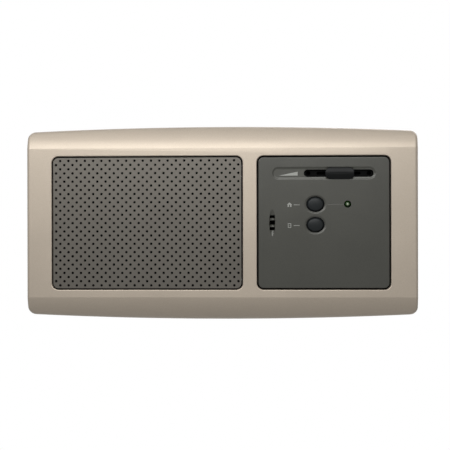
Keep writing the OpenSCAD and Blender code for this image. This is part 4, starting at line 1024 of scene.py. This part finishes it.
REAR_EDGES = {
    "chassis": 0.35, "circuit_board": 0.12, "terminal_block": 0.25, "amplifier_chip": 0.12,
    "logic_chip": 0.12, "filter_capacitors": 0.3, "speaker_connector": 0.15, "speaker_plug": 0.25,
    "speaker_magnet": 0.8, "speaker_yoke": 0.5, "speaker_top_plate": 0.4, "speaker_basket": 0.2,
    "speaker_screws": 0.3, "panel_screws": 0.3, "board_screws": 0.2, "terminal_screws": 0.2,
    "speaker_terminal_strip": 0.1, "speaker_lugs": 0.1, "volume_pot_frame": 0.2,
}
for rear_node, edge_mm in REAR_EDGES.items():
    softened(rear_node, [(anywhere, edge_mm * MM, SMALL_CUTS)])


# Soft rings and snap domes, copied from their nodes


def flexing(node):
    """A copy of a soft ring that takes the place of its node, and rides on no body.

    Its points are set for a moment to their distance from the ring's middle, and then put back.
    """
    piece = stand_for(make_object(node + "_ring", mesh_copy(node), FINISH_OF[node]), node, rides=False)
    middle = middle_of(node)
    points = piece.data.vertices
    places = [point.co.copy() for point in points]
    for point in points:
        point.co.x = math.hypot(point.co.x - middle.x, point.co.z - middle.z)
    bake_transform(piece)
    for point, place in zip(points, places):
        point.co = place


def sprung_dome(node):
    """A copy of a snap dome that takes the place of its node, on its body, with a mesh of its own."""
    piece = stand_for(make_object(node + "_spring", mesh_copy(node), FINISH_OF[node]), node)
    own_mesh(piece)


flexing("speaker_surround")
flexing("speaker_spider")
sprung_dome("house_switch_dome")
sprung_dome("door_switch_dome")


# Grille cloth

CLOTH_COLUMNS = 56
CLOTH_ROWS = 40


def make_cloth():
    """Cloth drawn tight behind the grille."""
    low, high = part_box("grille_cloth")
    middle_y = (low.y + high.y) / 2
    bm = bmesh.new()
    grid = []
    for j in range(CLOTH_ROWS + 1):
        z = low.z + (high.z - low.z) * j / CLOTH_ROWS
        grid.append([bm.verts.new((low.x + (high.x - low.x) * i / CLOTH_COLUMNS, middle_y, z))
                     for i in range(CLOTH_COLUMNS + 1)])
    for near, far in zip(grid, grid[1:]):
        for i in range(CLOTH_COLUMNS):
            bm.faces.new((near[i], near[i + 1], far[i + 1], far[i]))
    piece = stand_for(make_object("grille_cloth_sheet", bm, FINISH_OF["grille_cloth"]), "grille_cloth")


make_cloth()


# Printed marks, with their outlines in mm from the middle of each mark

PRINT_T = 0.03 * MM
PRINT_BITE = PRINT_T / 3
RECESS_DEPTH = 0.7 * MM
VOLUME_PLACE = Vector((29.9 * MM, 0, 0.3 * MM))
BUTTON_PLACE = Vector((15.4 * MM, 0, 0.4 * MM))


def printed(name, surface_y, middle, outlines):
    """Flat printed shapes on a surface that faces the front."""
    bm = bmesh.new()
    for outline in outlines:
        places = [(middle.x + x * MM, middle.z + z * MM) for x, z in outline]
        back = [bm.verts.new((x, surface_y + PRINT_BITE, z)) for x, z in places]
        front = [bm.verts.new((x, surface_y - PRINT_T, z)) for x, z in places]
        bm.faces.new(back)
        bm.faces.new(front)
        bridge(bm, back, front)
    bmesh.ops.recalc_face_normals(bm, faces=bm.faces)
    piece = make_object(name, bm, PRINT)
    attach(piece, STATION)


def bar(x0, z0, x1, z1):
    return [(x0, z0), (x1, z0), (x1, z1), (x0, z1)]


# A line that leads to a button
LEADER = bar(2.5, -0.17, 6.0, 0.17)
# A rising wedge, at the left of the slider's recess
WEDGE = [(-5.5, -1.1), (5.5, -1.1), (5.5, 1.2)]
# A small house: its roof and two walls
HOUSE = [[(-1.6, 0.15), (1.6, 0.15), (0, 1.45)], bar(-1.15, -1.2, -0.35, 0.15),
         bar(0.35, -1.2, 1.15, 0.15)]
# A small door: its posts, rails and handle
DOOR = [bar(-0.95, -1.35, -0.6, 1.35), bar(0.6, -1.35, 0.95, 1.35), bar(-0.6, 1.0, 0.6, 1.35),
        bar(-0.6, -1.35, 0.6, -1.0), bar(0.05, -0.2, 0.4, 0.2)]

recess_y = panel_low.y + RECESS_DEPTH
printed("volume_mark", recess_y, middle_of("volume_pot_frame") - VOLUME_PLACE, [WEDGE])
printed("house_mark", panel_low.y, middle_of("house_button") - BUTTON_PLACE, [*HOUSE, LEADER])
printed("door_mark", panel_low.y, middle_of("door_button") - BUTTON_PLACE, [*DOOR, LEADER])


# Floor

def make_floor():
    bm = bmesh.new()
    corners = ((-1, -1), (1, -1), (1, 1), (-1, 1))
    bm.faces.new([bm.verts.new((sx * FLOOR_HALF, sy * FLOOR_HALF, FLOOR_Z)) for sx, sy in corners])
    mesh = bpy.data.meshes.new("floor")
    bm.to_mesh(mesh)
    bm.free()
    mesh.materials.append(floor_finish())
    floor = bpy.data.objects.new("floor", mesh)
    scene.collection.objects.link(floor)


make_floor()
